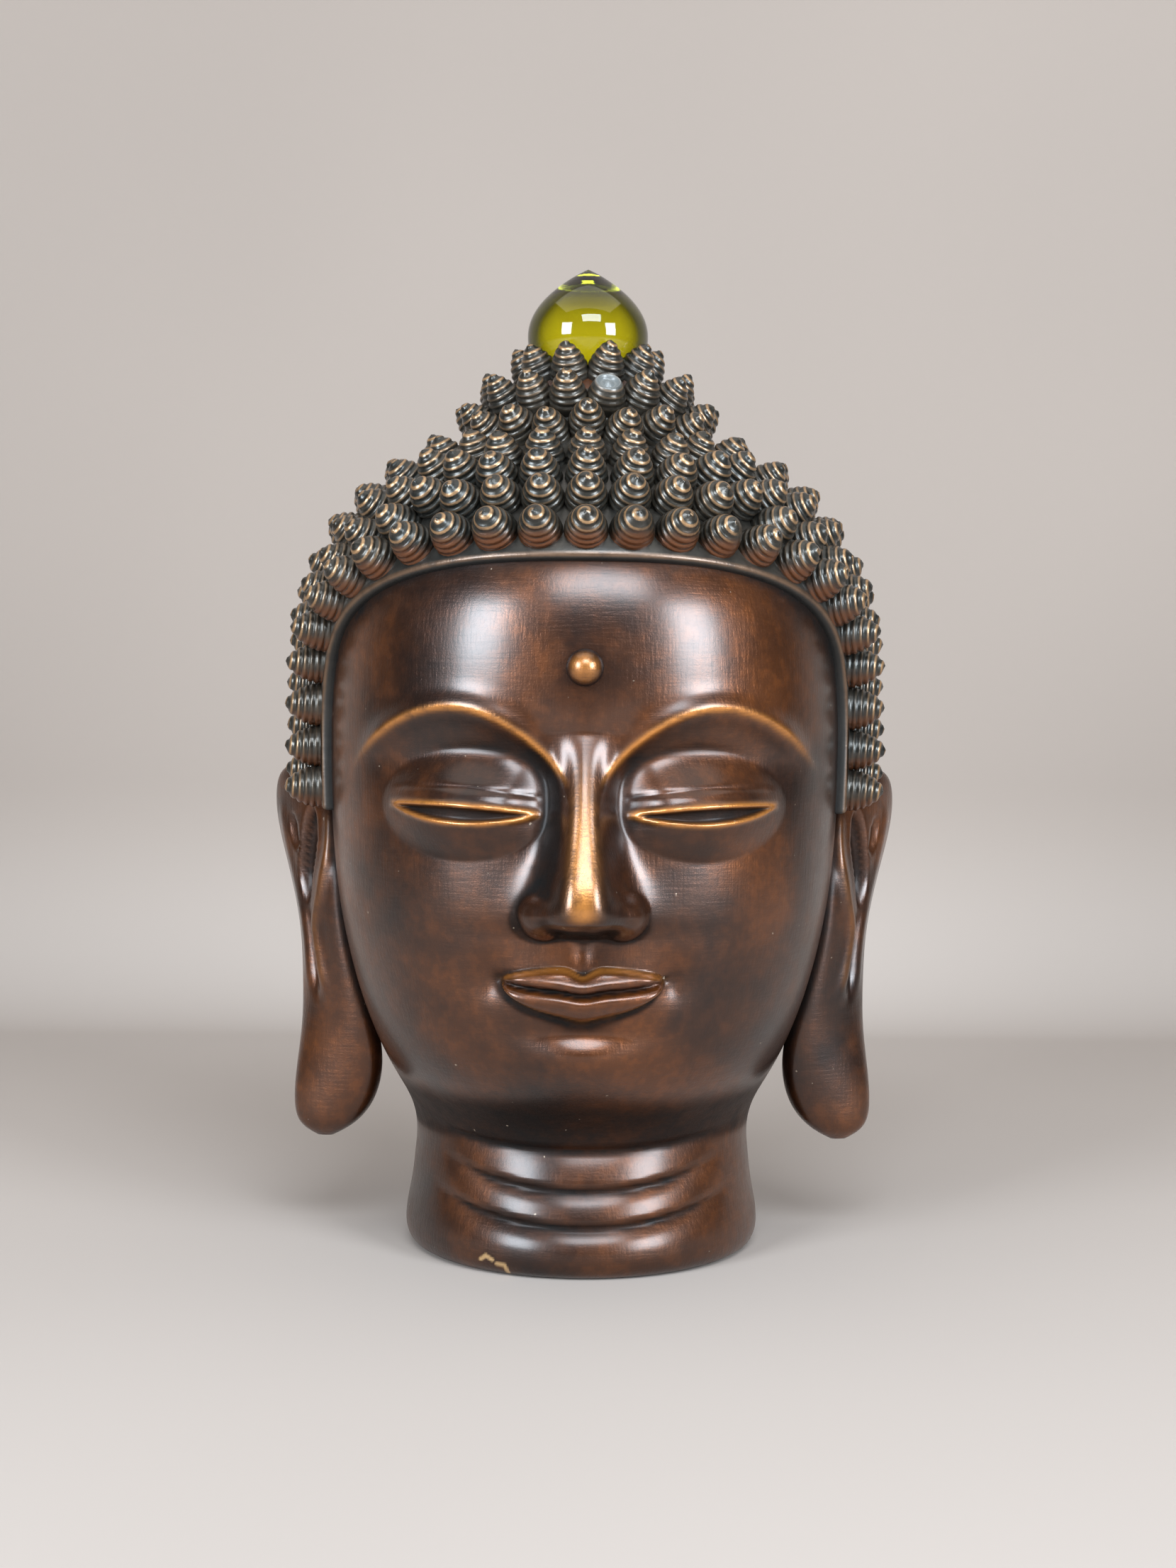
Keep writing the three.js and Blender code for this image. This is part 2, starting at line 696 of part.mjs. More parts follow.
// A point of the ear before it is carved.
function plainEar(down, turn) {
  const [z, innerX, innerY, outerX, outerY, thick] = ear.map((f) => f(down));
  const out = Math.sin(turn);
  const wide = new THREE.Vector3(outerX - innerX, outerY - innerY, 0);
  const facing = new THREE.Vector3(wide.y, -wide.x, 0).normalize();
  return new THREE.Vector3((innerX + outerX) / 2, (innerY + outerY) / 2, z)
    .addScaledVector(wide, Math.cos(turn) / 2)
    .addScaledVector(facing, (Math.sign(out) * Math.abs(out) ** earRoundness * thick) / 2);
}

// One level section of the ear, carved on the side that looks out. More of its points lie on that side.
function earSection(down) {
  const turns = [...Array(earSides).keys()].map((k) => {
    const turn = (2 * Math.PI * k) / earSides;
    return turn + earCrowding * Math.cos(turn) - earCrowding;
  });
  const plain = turns.map((turn) => plainEar(down, turn));
  const [z] = plain.map((p) => p.z);
  const cheek = Math.max(Math.min(...plain.map((p) => p.x)), ring[1](wayAt(z)));
  const widest = Math.max(...plain.map((p) => p.x));
  const step = 0.01;
  return plain.map((p, k) => {
    const relief =
      Math.min(1, Math.max(0, 2 * Math.sin(turns[k]))) * earCarving(z, (p.x - cheek) / (widest - cheek));
    const along = plainEar(down, turns[k] + step).sub(plainEar(down, turns[k] - step)).normalize();
    return p.add(new THREE.Vector3(-along.y, along.x, 0).multiplyScalar(relief));
  });
}

function earSolid(side) {
  const points = [];
  for (let j = 0; j <= earRows; j++)
    for (const p of earSection(j / earRows)) points.push(new THREE.Vector3(side * p.x, p.y, p.z));
  const triangles = [];
  const face = (a, b, c) => triangles.push(side > 0 ? [a, c, b] : [a, b, c]);
  for (let j = 0; j < earRows; j++)
    for (let k = 0; k < earSides; k++) {
      const a = j * earSides + k;
      const b = j * earSides + ((k + 1) % earSides);
      face(a, a + earSides, b);
      face(b, a + earSides, b + earSides);
    }
  for (const j of [0, earRows]) {
    const rim = [...Array(earSides).keys()].map((k) => j * earSides + k);
    for (let k = 1; k < earSides - 1; k++)
      if (j) face(rim[0], rim[k + 1], rim[k]);
      else face(rim[0], rim[k], rim[k + 1]);
  }
  return solid(points, triangles);
}

function beadSolid() {
  const root = skin(0, wayAt(browZ + 25));
  const ball = new THREE.SphereGeometry(beadRadius, beadSegments, beadSegments / 2);
  return solidOf(ball.translate(0, root.y - 0.18 * beadRadius, root.z));
}

// The way along the meridian at a height.
function wayAt(z) {
  let low = 0;
  let high = 1;
  for (let i = 0; i < 40; i++) {
    const middle = (low + high) / 2;
    if (ring[0](middle) < z) low = middle;
    else high = middle;
  }
  return low;
}

function jewelGeometry(grow) {
  const curve = jewelProfile.map(
    ([r, h], i) => new THREE.Vector2(i && r ? r + grow : r, i < 2 ? h - grow : h + (r ? 0 : grow)),
  );
  return new THREE.LatheGeometry(curve, jewelSegments)
    .rotateX(Math.PI / 2)
    .translate(0, 0, seatZ + jewelGap);
}

const copper = new THREE.MeshStandardMaterial({
  color: 0x5a2f18,
  roughness: 0.36,
  metalness: 0.9,
});
const glass = new THREE.MeshStandardMaterial({
  color: 0xb5b21a,
  roughness: 0.05,
  metalness: 0,
  transparent: true,
  opacity: 0.6,
});

function headGeometry() {
  const whole = skinSolid().add(hairSolid()).add(earSolid(1)).add(earSolid(-1)).add(beadSolid());
  return geometryOf(whole.subtract(solidOf(jewelGeometry(jewelGap))));
}

const head = new THREE.Mesh(headGeometry(), copper);
head.name = "head";
const jewel = new THREE.Mesh(jewelGeometry(0), glass);
jewel.name = "jewel";

const templeHead = new THREE.Group();
templeHead.add(head, jewel);
export default templeHead;
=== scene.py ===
"""A cast copper temple head with snail-shell curls and a glass jewel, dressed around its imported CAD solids.

Shapes are worked out in millimetres, with +Z up and the face looking along -Y, and become metres in a mesh.
The form repeats the functions of the part's own source, on finer meshes and with the fine carving added.
"""

import math

import bpy
import numpy as np
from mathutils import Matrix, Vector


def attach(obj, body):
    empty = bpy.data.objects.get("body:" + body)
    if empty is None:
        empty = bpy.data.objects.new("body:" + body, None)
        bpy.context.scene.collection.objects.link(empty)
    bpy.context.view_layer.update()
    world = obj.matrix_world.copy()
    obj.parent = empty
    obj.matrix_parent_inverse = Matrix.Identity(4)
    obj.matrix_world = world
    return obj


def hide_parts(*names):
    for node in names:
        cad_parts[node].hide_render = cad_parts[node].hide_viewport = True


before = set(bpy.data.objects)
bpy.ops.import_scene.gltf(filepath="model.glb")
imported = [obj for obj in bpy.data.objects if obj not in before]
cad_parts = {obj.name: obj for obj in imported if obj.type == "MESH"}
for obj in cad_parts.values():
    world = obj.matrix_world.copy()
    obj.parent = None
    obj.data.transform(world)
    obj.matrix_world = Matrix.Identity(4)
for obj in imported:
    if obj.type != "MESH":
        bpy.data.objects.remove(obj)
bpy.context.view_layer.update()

MM = 0.001

# The face follows the old canon: twelve units wide, twelve and a half high, in three equal zones.
UNIT = 14.2
HAIRLINE_Z = 240
FACE_HEIGHT = 12.5 * UNIT
BROW_Z = HAIRLINE_Z - FACE_HEIGHT / 3
NOSE_Z = HAIRLINE_Z - 2 * FACE_HEIGHT / 3
MOUTH_Z = NOSE_Z - FACE_HEIGHT / 9
CHIN_Z = HAIRLINE_Z - FACE_HEIGHT

# Rings of the head from the foot of the neck to the jewel's seat:
# height, half width, reach to the front, reach to the back, squareness of the ring.
RINGS = np.array([
    (0, 58.5, 60, 60, 2),
    (1.2, 61.2, 63, 62.6, 2),
    (4, 63, 65, 64.6, 2),
    (9, 63.6, 65.6, 65.4, 2),
    (20, 61.9, 63.2, 64.4, 2),
    (32, 60.4, 60.6, 63.6, 2),
    (43, 60, 59, 63, 2),
    (50, 61.5, 62.5, 63.4, 2.02),
    (58, 65.2, 70, 65, 2.06),
    (66, 69.6, 77.8, 68, 2.1),
    (76, 74.2, 83.6, 73, 2.16),
    (90, 79.4, 87, 80.5, 2.2),
    (105, 83.6, 88.8, 87, 2.2),
    (122, 87, 90.4, 92.6, 2.2),
    (142, 89.4, 92, 97, 2.2),
    (162, 90.6, 93.4, 99.6, 2.2),
    (184, 91, 94.6, 100.4, 2.2),
    (206, 90.4, 95, 99.8, 2.18),
    (224, 88.8, 93.8, 98, 2.14),
    (238, 84.2, 89.6, 93.8, 2.08),
    (249, 78.4, 82.8, 87.4, 2),
    (259, 71.2, 74, 79.2, 2),
    (267.5, 62.4, 63.8, 68.6, 2),
    (275, 51.8, 51.2, 55.6, 2),
    (282, 42, 40.4, 44.2, 2),
    (290, 37.6, 36, 39.2, 2),
    (298, 32.8, 31.8, 33.6, 2),
    (305, 25, 24.6, 25.2, 2),
    (311, 18, 18, 18, 2),
])

# The hair lies on the skull as a raised cap. It ends at the hairline, above the ears and at the nape.
# The cap is thinnest over the forehead, and towards the crown it thins out to nothing.
HAIR_LIFT = (2.9, 3.7)
LIFT_TURNS = (math.radians(25), math.radians(65))
LIFT_ENDS_Z = 292
TEMPLE = math.radians(74)
HAIR_CORNER_Z = 172
HAIR_CORNER_POWER = 2.7
SIDEBURN_Z = 156
NAPE_Z = 96
BEHIND_EAR = (math.radians(94), math.radians(104))
SKULL_RADIUS = 88

# Snail-shell curls, evened out on the cap of hair so that their upper halves are evenly apart.
# Down to the hairline they stand in rings. Two rings round the jewel leave the front centre free,
# and the others have a curl there. Below the hairline they stand in staggered columns, the first of
# them beside the face. At the crown the curls stand up, and lower down they reach out more level.
CURL_PITCH = 15.5
CURL_ROW_PITCH = 14.6
CROWN_RINGS = 2
SIDE_COLUMNS = 14
CURL_MARGIN = 8
FIRST_COLUMN = TEMPLE + CURL_MARGIN / SKULL_RADIUS
CURL_HEIGHT = 13.2
CURL_REACH = 8
LEVEL_Z = 262
STANDING_Z = 292
LEVELLING = 0.7
LEVEL_DROOP = 0.03
STANDING_LIFT = 0.25
FIRST_ROW = 0.05
LOWEST_WAY = 0.2
EVEN_ROUNDS = 60
EVEN_PUSH = 0.3
SETTLING = 0.12

# The glass jewel, as radius and height above its seat.
SEAT_Z = 311
JEWEL_GAP = 0.3
JEWEL_PROFILE = (
    (0, 0),
    (13.5, 0),
    (18.4, 4),
    (21, 9),
    (21.6, 13.4),
    (20.8, 18.6),
    (16.9, 25.4),
    (10.2, 31.6),
    (4.2, 35.6),
    (0, 37.8),
)

SEED = 11


def smooth(low, high, x):
    """0 up to low and 1 from high on, with a smooth rise between."""
    t = np.clip((x - low) / (high - low), 0, 1)
    return t * t * (3 - 2 * t)


def bell(x, width):
    """1 at 0, and fading to nothing a few widths away on either side."""
    return np.exp(-((x / width) ** 2))


def mix(a, b, t):
    return a + (b - a) * t


def spline(xs, ys):
    """A natural cubic spline through the points (xs, ys), as a function of arrays."""
    xs = np.asarray(xs, float)
    ys = np.asarray(ys, float)
    bend = np.zeros(len(xs))
    carry = np.zeros(len(xs))
    for i in range(1, len(xs) - 1):
        before = xs[i] - xs[i - 1]
        after = xs[i + 1] - xs[i]
        share = before / (before + after)
        pivot = share * bend[i - 1] + 2
        bend[i] = (share - 1) / pivot
        turn = (ys[i + 1] - ys[i]) / after - (ys[i] - ys[i - 1]) / before
        carry[i] = (6 * turn / (before + after) - share * carry[i - 1]) / pivot
    bend[-1] = 0
    for i in range(len(xs) - 2, -1, -1):
        bend[i] = bend[i] * bend[i + 1] + carry[i]

    def curve(x):
        k = np.searchsorted(xs[1:-1], x)
        span = xs[k + 1] - xs[k]
        a = (xs[k + 1] - x) / span
        b = (x - xs[k]) / span
        bow = (a**3 - a) * bend[k] + (b**3 - b) * bend[k + 1]
        return a * ys[k] + b * ys[k + 1] + bow * span**2 / 6

    return curve


# The rings as smooth functions of the way along the meridian, from 0 at the foot to 1 at the seat.
stretch = np.hypot(np.diff(RINGS[:, 0]), 0.9 * np.diff(RINGS[:, 2]))
MERIDIAN = stretch.sum()
ring_ways = np.concatenate([[0], np.cumsum(stretch)]) / MERIDIAN
ring_z, ring_half, ring_front, ring_back, ring_power = (spline(ring_ways, RINGS[:, k]) for k in range(5))
fine_ways = np.linspace(0, 1, 4001)
fine_heights = ring_z(fine_ways)


def way_at(z):
    """The way along the meridian at a height."""
    return np.interp(z, fine_heights, fine_ways)


def hair_depth(phi, z):
    """Signed distance in from the edge of the hair, in mm along the skull, positive in the hair."""
    across = np.abs(phi) / TEMPLE
    up = np.maximum(0, (z - HAIR_CORNER_Z) / (HAIRLINE_Z - HAIR_CORNER_Z))
    p = HAIR_CORNER_POWER
    level = np.maximum(1e-6, (across**p + up**p) ** (1 / p))
    slope = np.hypot(
        (across / level) ** (p - 1) / (TEMPLE * SKULL_RADIUS),
        (up / level) ** (p - 1) / (HAIRLINE_Z - HAIR_CORNER_Z),
    )
    front_edge = (level - 1) / np.maximum(slope, 1e-3)
    low_edge = z - mix(SIDEBURN_Z, NAPE_Z, smooth(*BEHIND_EAR, np.abs(phi)))
    return np.minimum(front_edge, low_edge)


def cap_lift(phi, z):
    """How far the cap of hair stands out from the skin."""
    edge_lift = mix(*HAIR_LIFT, smooth(*LIFT_TURNS, np.abs(phi)))
    return edge_lift * (1 - smooth(HAIRLINE_Z + 10, LIFT_ENDS_Z, z))


# Brow: a crisp arched ridge from the root of the nose out to the temple, sharper below than above.
BROW_PEAK_X = 3.05 * UNIT
BROW_RISE = 12
BROW_ARCH = 0.0164
BROW_HEIGHT = 2.6


def brow_distance(x, z):
    """Height above the line of the brow, and how strongly the brow shows there."""
    out = np.abs(x) - BROW_PEAK_X
    line = BROW_Z + BROW_RISE - BROW_ARCH * out * out
    d = (z - line) / np.hypot(1, 2 * BROW_ARCH * out)
    reach = smooth(4, 10, np.abs(x)) * (1 - smooth(66, 80, np.abs(x)))
    return d, reach


def brow(x, z):
    d, reach = brow_distance(x, z)
    rise = np.where(d > 0, bell(d, 4.6), np.exp(-np.abs(d) / 2.6))
    return BROW_HEIGHT * rise * reach


# Eye socket: a hollow under the brow, deepest by the nose. The lidded eyeball swells out of it.
EYE_X = 2.7 * UNIT
EYE_Z = BROW_Z - 20
EYE_HALF = 1.55 * UNIT
SOCKET_DEPTH = 5.4
INNER_CORNER_X = 14
INNER_CORNER_DEPTH = 5
EYEBALL_HEIGHT = 8.2
EYEBALL_HALF_HEIGHT = 18.5


def socket(x, z):
    out = np.abs(x)
    hollow = bell(out - 0.9 * EYE_X, 24) * bell(z - (EYE_Z + 14), 11)
    inner = bell(out - INNER_CORNER_X, 8) * bell(z - (EYE_Z + 4), 15)
    return -SOCKET_DEPTH * hollow - INNER_CORNER_DEPTH * inner


def eyeball(x, z):
    across = (np.abs(x) - EYE_X) / (1.3 * EYE_HALF)
    up = (z - EYE_Z - 1) / EYEBALL_HALF_HEIGHT
    return EYEBALL_HEIGHT * np.maximum(0, 1 - across * across - up * up) ** 1.35


# Lids: the upper one is lowered over the eye, and a slit stays open above the fine rim of the lower one.
LID_RIM = 1.1
SLIT_DEPTH = 1.9


def lid_lines(x, z):
    """Heights above the lower and below the upper lid, and how strongly the lids show there."""
    t = (np.abs(x) - EYE_X) / EYE_HALF
    bow = np.maximum(0, 1 - t * t)
    tilt = 1.2 * t
    upper = EYE_Z - 0.6 + tilt + 1.4 * bow
    lower = EYE_Z - 1.2 + tilt - 3.6 * bow
    return z - lower, upper - z, 1 - smooth(0.92, 1.16, np.abs(t))


def lids(x, z):
    over, under, reach = lid_lines(x, z)
    rims = bell(under, 1.3) + 0.7 * bell(over, 1.1)
    inside = smooth(0, 1.1, over) * smooth(0, 1.1, under)
    return reach * (LID_RIM * rims - SLIT_DEPTH * inside)


# Nose: a straight narrow bridge that widens to the tip, with round wings beside it.
NOSE_FOOT_Z = NOSE_Z - 3
NOSE_ROOT_Z = BROW_Z + 4
NOSE_SQUARENESS = 3.4
WING_X = 12.4
WING_HEIGHT = 11
nose_rise = spline(
    [NOSE_FOOT_Z, *(NOSE_Z + up for up in (-0.5, 2, 6, 12, 24, 40)), BROW_Z - 6, NOSE_ROOT_Z],
    [0, 7, 17, 22, 21.5, 16, 9.4, 4.2, 0],
)
nose_width = spline(
    [NOSE_FOOT_Z, *(NOSE_Z + up for up in (4, 12, 24, 40)), BROW_Z - 4],
    [10, 11.4, 10.6, 8.6, 7.6, 8.4],
)


def nose(x, z):
    out = np.abs(x)
    on_bridge = (z > NOSE_FOOT_Z) & (z < NOSE_ROOT_Z)
    flank = out / nose_width(np.minimum(z, BROW_Z - 4))
    rise = np.where(on_bridge, np.maximum(0, nose_rise(z)) / (1 + flank**NOSE_SQUARENESS), 0)
    wing = np.maximum(0, 1 - ((out - WING_X) / 8.4) ** 2 - ((z - NOSE_Z - 5) / 8.6) ** 2)
    return np.cbrt(rise**3 + (WING_HEIGHT * wing**0.7) ** 3)


# Lips: a bow-shaped upper lip and a full lower lip, with a fine rim round both.
MOUTH_HALF = 1.85 * UNIT
MOUTH_CORNER_LIFT = 3
UPPER_LIP = 7.6
LOWER_LIP = 8.8
PARTING_DEPTH = 2.6


def lip_lines(x):
    """Heights of the parting, the top and the foot of the lips, and how strongly they show."""
    t = np.abs(x) / MOUTH_HALF
    bow = np.maximum(0, 1 - t * t)
    line = MOUTH_Z + MOUTH_CORNER_LIFT * t**2.4 - 1.2 * bell(x, 5)
    top = line + UPPER_LIP * bow**0.8 - 1.6 * bell(x, 3.4) * bow
    low = line - LOWER_LIP * bow**0.62
    return line, top, low, 1 - smooth(0.9, 1.12, t)


def lips(x, z):
    line, top, low, reach = lip_lines(x)
    upper = smooth(-1, 1.2, top - z) * smooth(-0.4, 0.4, z - line)
    lower = smooth(-1, 1.2, z - low) * smooth(-0.4, 0.4, line - z)
    upper_swell = 3 + 2.2 * bell(z - line - 2.4, 2.6)
    lower_swell = 2.6 + 2.8 * bell(z - line + 3.6, 3.2)
    parting = -PARTING_DEPTH * bell(z - line, 0.9)
    return reach * (upper * upper_swell + lower * lower_swell + parting)


def soft_forms(x, z):
    """Cheeks, groove under the nose, crease under the lip, and chin."""
    out = np.abs(x)
    cheek = 2.6 * bell(out - 46, 24) * bell(z - (NOSE_Z + 4), 26)
    corner = -2.4 * bell(out - MOUTH_HALF - 3, 6) * bell(z - MOUTH_Z - 3, 7)
    groove = -1.1 * bell(x, 3) * bell(z - (NOSE_Z - 7), 5)
    muzzle = 2.6 * bell(x, 26) * bell(z - MOUTH_Z, 15)
    crease = -2.8 * bell(x, 17) * bell(z - (MOUTH_Z - 14.5), 4.6)
    chin = 3.6 * bell(x, 19) * bell(z - (CHIN_Z + 14.5), 10)
    return cheek + corner + groove + muzzle + crease + chin


# Three beauty lines round the front of the neck. Each is a crease that the roll above overhangs,
# with the roll below rising out of it slowly.
FOLD_HEIGHTS = (43, 29.5, 17.6)
FOLD_SPANS = (math.radians(70), math.radians(54), math.radians(58))
FOLD_CURVES = (7, 8.6, 9.6)
FOLD_DEPTH = 2.3


def fold_distances(phi, z):
    """For each crease, the height above it and how strongly it shows there."""
    for height, span, curve in zip(FOLD_HEIGHTS, FOLD_SPANS, FOLD_CURVES):
        off = np.abs(phi) / span
        yield z - height - curve * off * off, 1 - smooth(0.5, 1.04, off)


def neck_folds(phi, z):
    total = 0
    for d, reach in fold_distances(phi, z):
        overhang = bell(np.maximum(d, 0), 1.15)
        slope = np.exp(-((np.maximum(-d, 0) / 3.7) ** 1.5))
        total = total - FOLD_DEPTH * reach * overhang * slope
    return total


def ring_point(phi, way):
    """Radius and height of the plain ring."""
    reach = np.where(np.cos(phi) > 0, ring_front(way), ring_back(way))
    power = ring_power(way)
    level = (np.abs(np.sin(phi)) / ring_half(way)) ** power + (np.abs(np.cos(phi)) / reach) ** power
    return level ** (-1 / power), ring_z(way)


def carving(phi, way):
    """How far the carving stands out from the plain ring."""
    radius, z = ring_point(phi, way)
    x = radius * np.sin(phi)
    face = brow(x, z) + socket(x, z) + eyeball(x, z) + lids(x, z) + nose(x, z) + lips(x, z) + soft_forms(x, z)
    on_face = (np.cos(phi) > 0) & (z > CHIN_Z - 10) & (z < HAIRLINE_Z)
    return neck_folds(phi, z) + np.where(on_face, face, 0)


def skin(phi, way, rise=None):
    """Points of the bare skin for an angle from the front and a way along the meridian."""
    radius, z = ring_point(phi, way)
    radius = radius + (carving(phi, way) if rise is None else rise)
    return np.stack([radius * np.sin(phi), -radius * np.cos(phi), z], -1)


def unit(v):
    return v / np.linalg.norm(v, axis=-1, keepdims=True)


def skin_frame(phi, way):
    """Directions on the skin: east with the angle, north with the way, and straight out."""
    step = 1e-3
    east = (skin(phi + step, way) - skin(phi - step, way)) / (2 * step)
    north = (skin(phi, way + step) - skin(phi, way - step)) / (2 * step)
    return east, north, unit(np.cross(east, north))


# Meshes


def make_mesh(name, points, faces, masks=None):
    """A smooth-shaded object from points in mm, with one number per point for each mask."""
    mesh = bpy.data.meshes.new(name)
    mesh.from_pydata((np.asarray(points) * MM).tolist(), [], faces)
    mesh.polygons.foreach_set("use_smooth", np.ones(len(mesh.polygons), bool))
    for mask, values in (masks or {}).items():
        layer = mesh.attributes.new(mask, "FLOAT", "POINT")
        layer.data.foreach_set("value", np.asarray(values, np.float32).ravel())
    mesh.update()
    made = bpy.data.objects.new(name, mesh)
    bpy.context.scene.collection.objects.link(made)
    return made


def grid_faces(rows, columns, closed, start=0):
    """Quads between rows of points, wound outwards where columns run east and rows run up."""
    across = columns if closed else columns - 1
    j, i = np.mgrid[0:rows - 1, 0:across]
    east = (i + 1) % columns
    low = j * columns
    high = low + columns
    quads = np.stack([low + i, low + east, high + east, high + i], -1)
    return (quads.reshape(-1, 4) + start).tolist()


def fan(ring, middle, outwards):
    """Triangles from a ring of points to one in its middle."""
    pairs = zip(ring, ring[1:] + ring[:1])
    return [(middle, a, b) if outwards else (middle, b, a) for a, b in pairs]


def tube_faces(rows, columns, start=0):
    """Faces of a closed tube of points. Its two end points, the low one first, come after its rows."""
    low_end = start + rows * columns
    lowest = list(range(start, start + columns))
    highest = list(range(low_end - columns, low_end))
    walls = grid_faces(rows, columns, True, start)
    return walls + fan(lowest, low_end, False) + fan(highest, low_end + 1, True)


def blur(field, size):
    """A box average over size cells each way, of a grid of numbers whose columns go all round."""
    for axis, mode in enumerate(("edge", "wrap")):
        pad = [(size, size) if k == axis else (0, 0) for k in (0, 1)]
        total = np.cumsum(np.pad(field, pad, mode=mode), axis=axis)
        ahead = np.take(total, range(2 * size, total.shape[axis]), axis=axis)
        behind = np.take(total, range(0, total.shape[axis] - 2 * size), axis=axis)
        field = (ahead - behind) / (2 * size)
    return field


def steps(stops):
    """Numbers from the first stop to the last. Each stop is where a stretch ends and its spacing."""
    runs = []
    for (start, _), (end, spacing) in zip(stops, stops[1:]):
        count = max(1, round((end - start) / spacing))
        runs.append(np.linspace(start, end, count, endpoint=False))
    return np.concatenate([*runs, [stops[-1][0]]])


# Skin: columns are closest over the face, and rows where the lids, nostrils and lips are.
SKIN_COLUMNS = ((-180, 0), (-66, 3.2), (-46, 1), (46, 0.5), (66, 1), (180, 3.2))
SKIN_ROWS = (
    (0, 0),
    (8, 0.6),
    (66, 1.3),
    (84, 1.2),
    (NOSE_Z - 6, 0.64),
    (NOSE_Z + 6, 0.44),
    (142, 0.95),
    (EYE_Z + 16, 0.6),
    (205, 0.9),
    (244, 2.2),
    (SEAT_Z, 4),
)

# Two scratches on the rim of the foot where bare metal shows, as x and z of the corners of their lines.
CHIP_LINES = (
    ((-34, 5.2), (-32.2, 6.8), (-30, 5.6)),
    ((-28.4, 4.4), (-25.8, 4.3), (-24.4, 1.2)),
)
CHIP_DEPTH = 0.25

# How dark the painted shade lies under the chin on the front of the throat, and how much darker the rest of
# the neck is painted.
THROAT_SHADE = 0.92
NECK_DARKENING = 0.3

# The nostrils and the line above the upper lid are carved in this fine mesh alone.
NOSTRIL_X = 7.2
NOSTRIL_DEPTH = 3.4
LID_CREASE_DEPTH = 0.5


def skin_fine(x, z):
    """Nostrils, and a fine line above the upper lid."""
    out = np.abs(x)
    nostril = -NOSTRIL_DEPTH * bell(out - NOSTRIL_X, 2.6) * bell(z - (NOSE_Z - 0.4), 1.5)
    _, under, reach = lid_lines(x, z)
    crease = -LID_CREASE_DEPTH * reach * bell(under + 5.4, 0.9)
    return nostril + crease


def chip_mask(x, z):
    """1 on the scratches and 0 beside them."""
    nearest = np.full(x.shape, np.inf)
    for line in CHIP_LINES:
        for (ax, az), (bx, bz) in zip(line, line[1:]):
            length = (bx - ax) ** 2 + (bz - az) ** 2
            along = np.clip(((x - ax) * (bx - ax) + (z - az) * (bz - az)) / length, 0, 1)
            nearest = np.minimum(nearest, np.hypot(x - mix(ax, bx, along), z - mix(az, bz, along)))
    return 1 - smooth(0.35, 0.95, nearest)


def worn_edges(phi, x, z):
    """Where the patina is worn through: brows, lids, the bridge of the nose and the rim of the lips."""
    brow_d, brow_reach = brow_distance(x, z)
    over, under, lid_reach = lid_lines(x, z)
    _, top, low, lip_reach = lip_lines(x)
    worn = bell(brow_d - 0.1, 1.05) * brow_reach * (1 - 0.35 * smooth(30, 62, np.abs(x)))
    lid_rims = np.maximum(bell(under + 0.2, 0.8), 0.9 * bell(over + 0.2, 0.8))
    worn = np.maximum(worn, 0.9 * lid_reach * lid_rims)
    up_nose = smooth(NOSE_Z + 2, NOSE_Z + 8, z) * (1 - smooth(NOSE_Z + 16, BROW_Z + 2, z))
    worn = np.maximum(worn, 0.75 * bell(x, 3.2) * up_nose)
    lip_rim = np.maximum(bell(top - z, 0.7), 0.9 * bell(z - low, 0.8))
    worn = np.maximum(worn, 0.6 * lip_reach * lip_rim)
    return np.where((np.cos(phi) > 0) & (z > CHIN_Z), worn, 0)


def painted_shade_and_hollows(phi, x, z, rise):
    """Where the skin is painted dark: painted shade in the carving's hollows, the neck's creases, by the hair
    and under the chin; the slits, darker metal; the neck, a little darker.
    """
    front = np.cos(phi) > 0
    over, under, lid_reach = lid_lines(x, z)
    # Painted shade in the hollows of the carving, and the slits between the lids as darker metal.
    relief = rise - blur(blur(rise, 4), 4)
    shade_and_hollow = smooth(0.15, 1.1, -relief)
    slit = lid_reach * smooth(0.2, 1, over) * smooth(0.2, 1, under)
    shade_and_hollow = np.maximum(shade_and_hollow, np.where(front, 0.9 * slit, 0))
    # Painted shade in the creases of the neck, under the rolls that overhang them.
    for d, reach in fold_distances(phi, z):
        shade_and_hollow = np.maximum(shade_and_hollow, reach * bell(d - 0.3, 1.2))
    # Painted shade along the edge of the hair, reaching wider at the temples.
    beside_hair = bell(hair_depth(phi, z) + 2, 7) * smooth(0.5, 0.95, np.abs(phi))
    near_hair = 0.8 * bell(hair_depth(phi, z), 2) + 0.85 * beside_hair
    shade_and_hollow = np.maximum(shade_and_hollow, np.minimum(1, near_hair))
    # Painted shade under the chin, on the front of the throat.
    throat = smooth(CHIN_Z + 6, CHIN_Z - 6, z) * smooth(40, 46, z) * front
    shade_and_hollow = np.maximum(shade_and_hollow, THROAT_SHADE * throat)
    # The neck below the chin is painted a little darker.
    return np.maximum(shade_and_hollow, NECK_DARKENING * smooth(CHIN_Z + 4, CHIN_Z - 14, z))


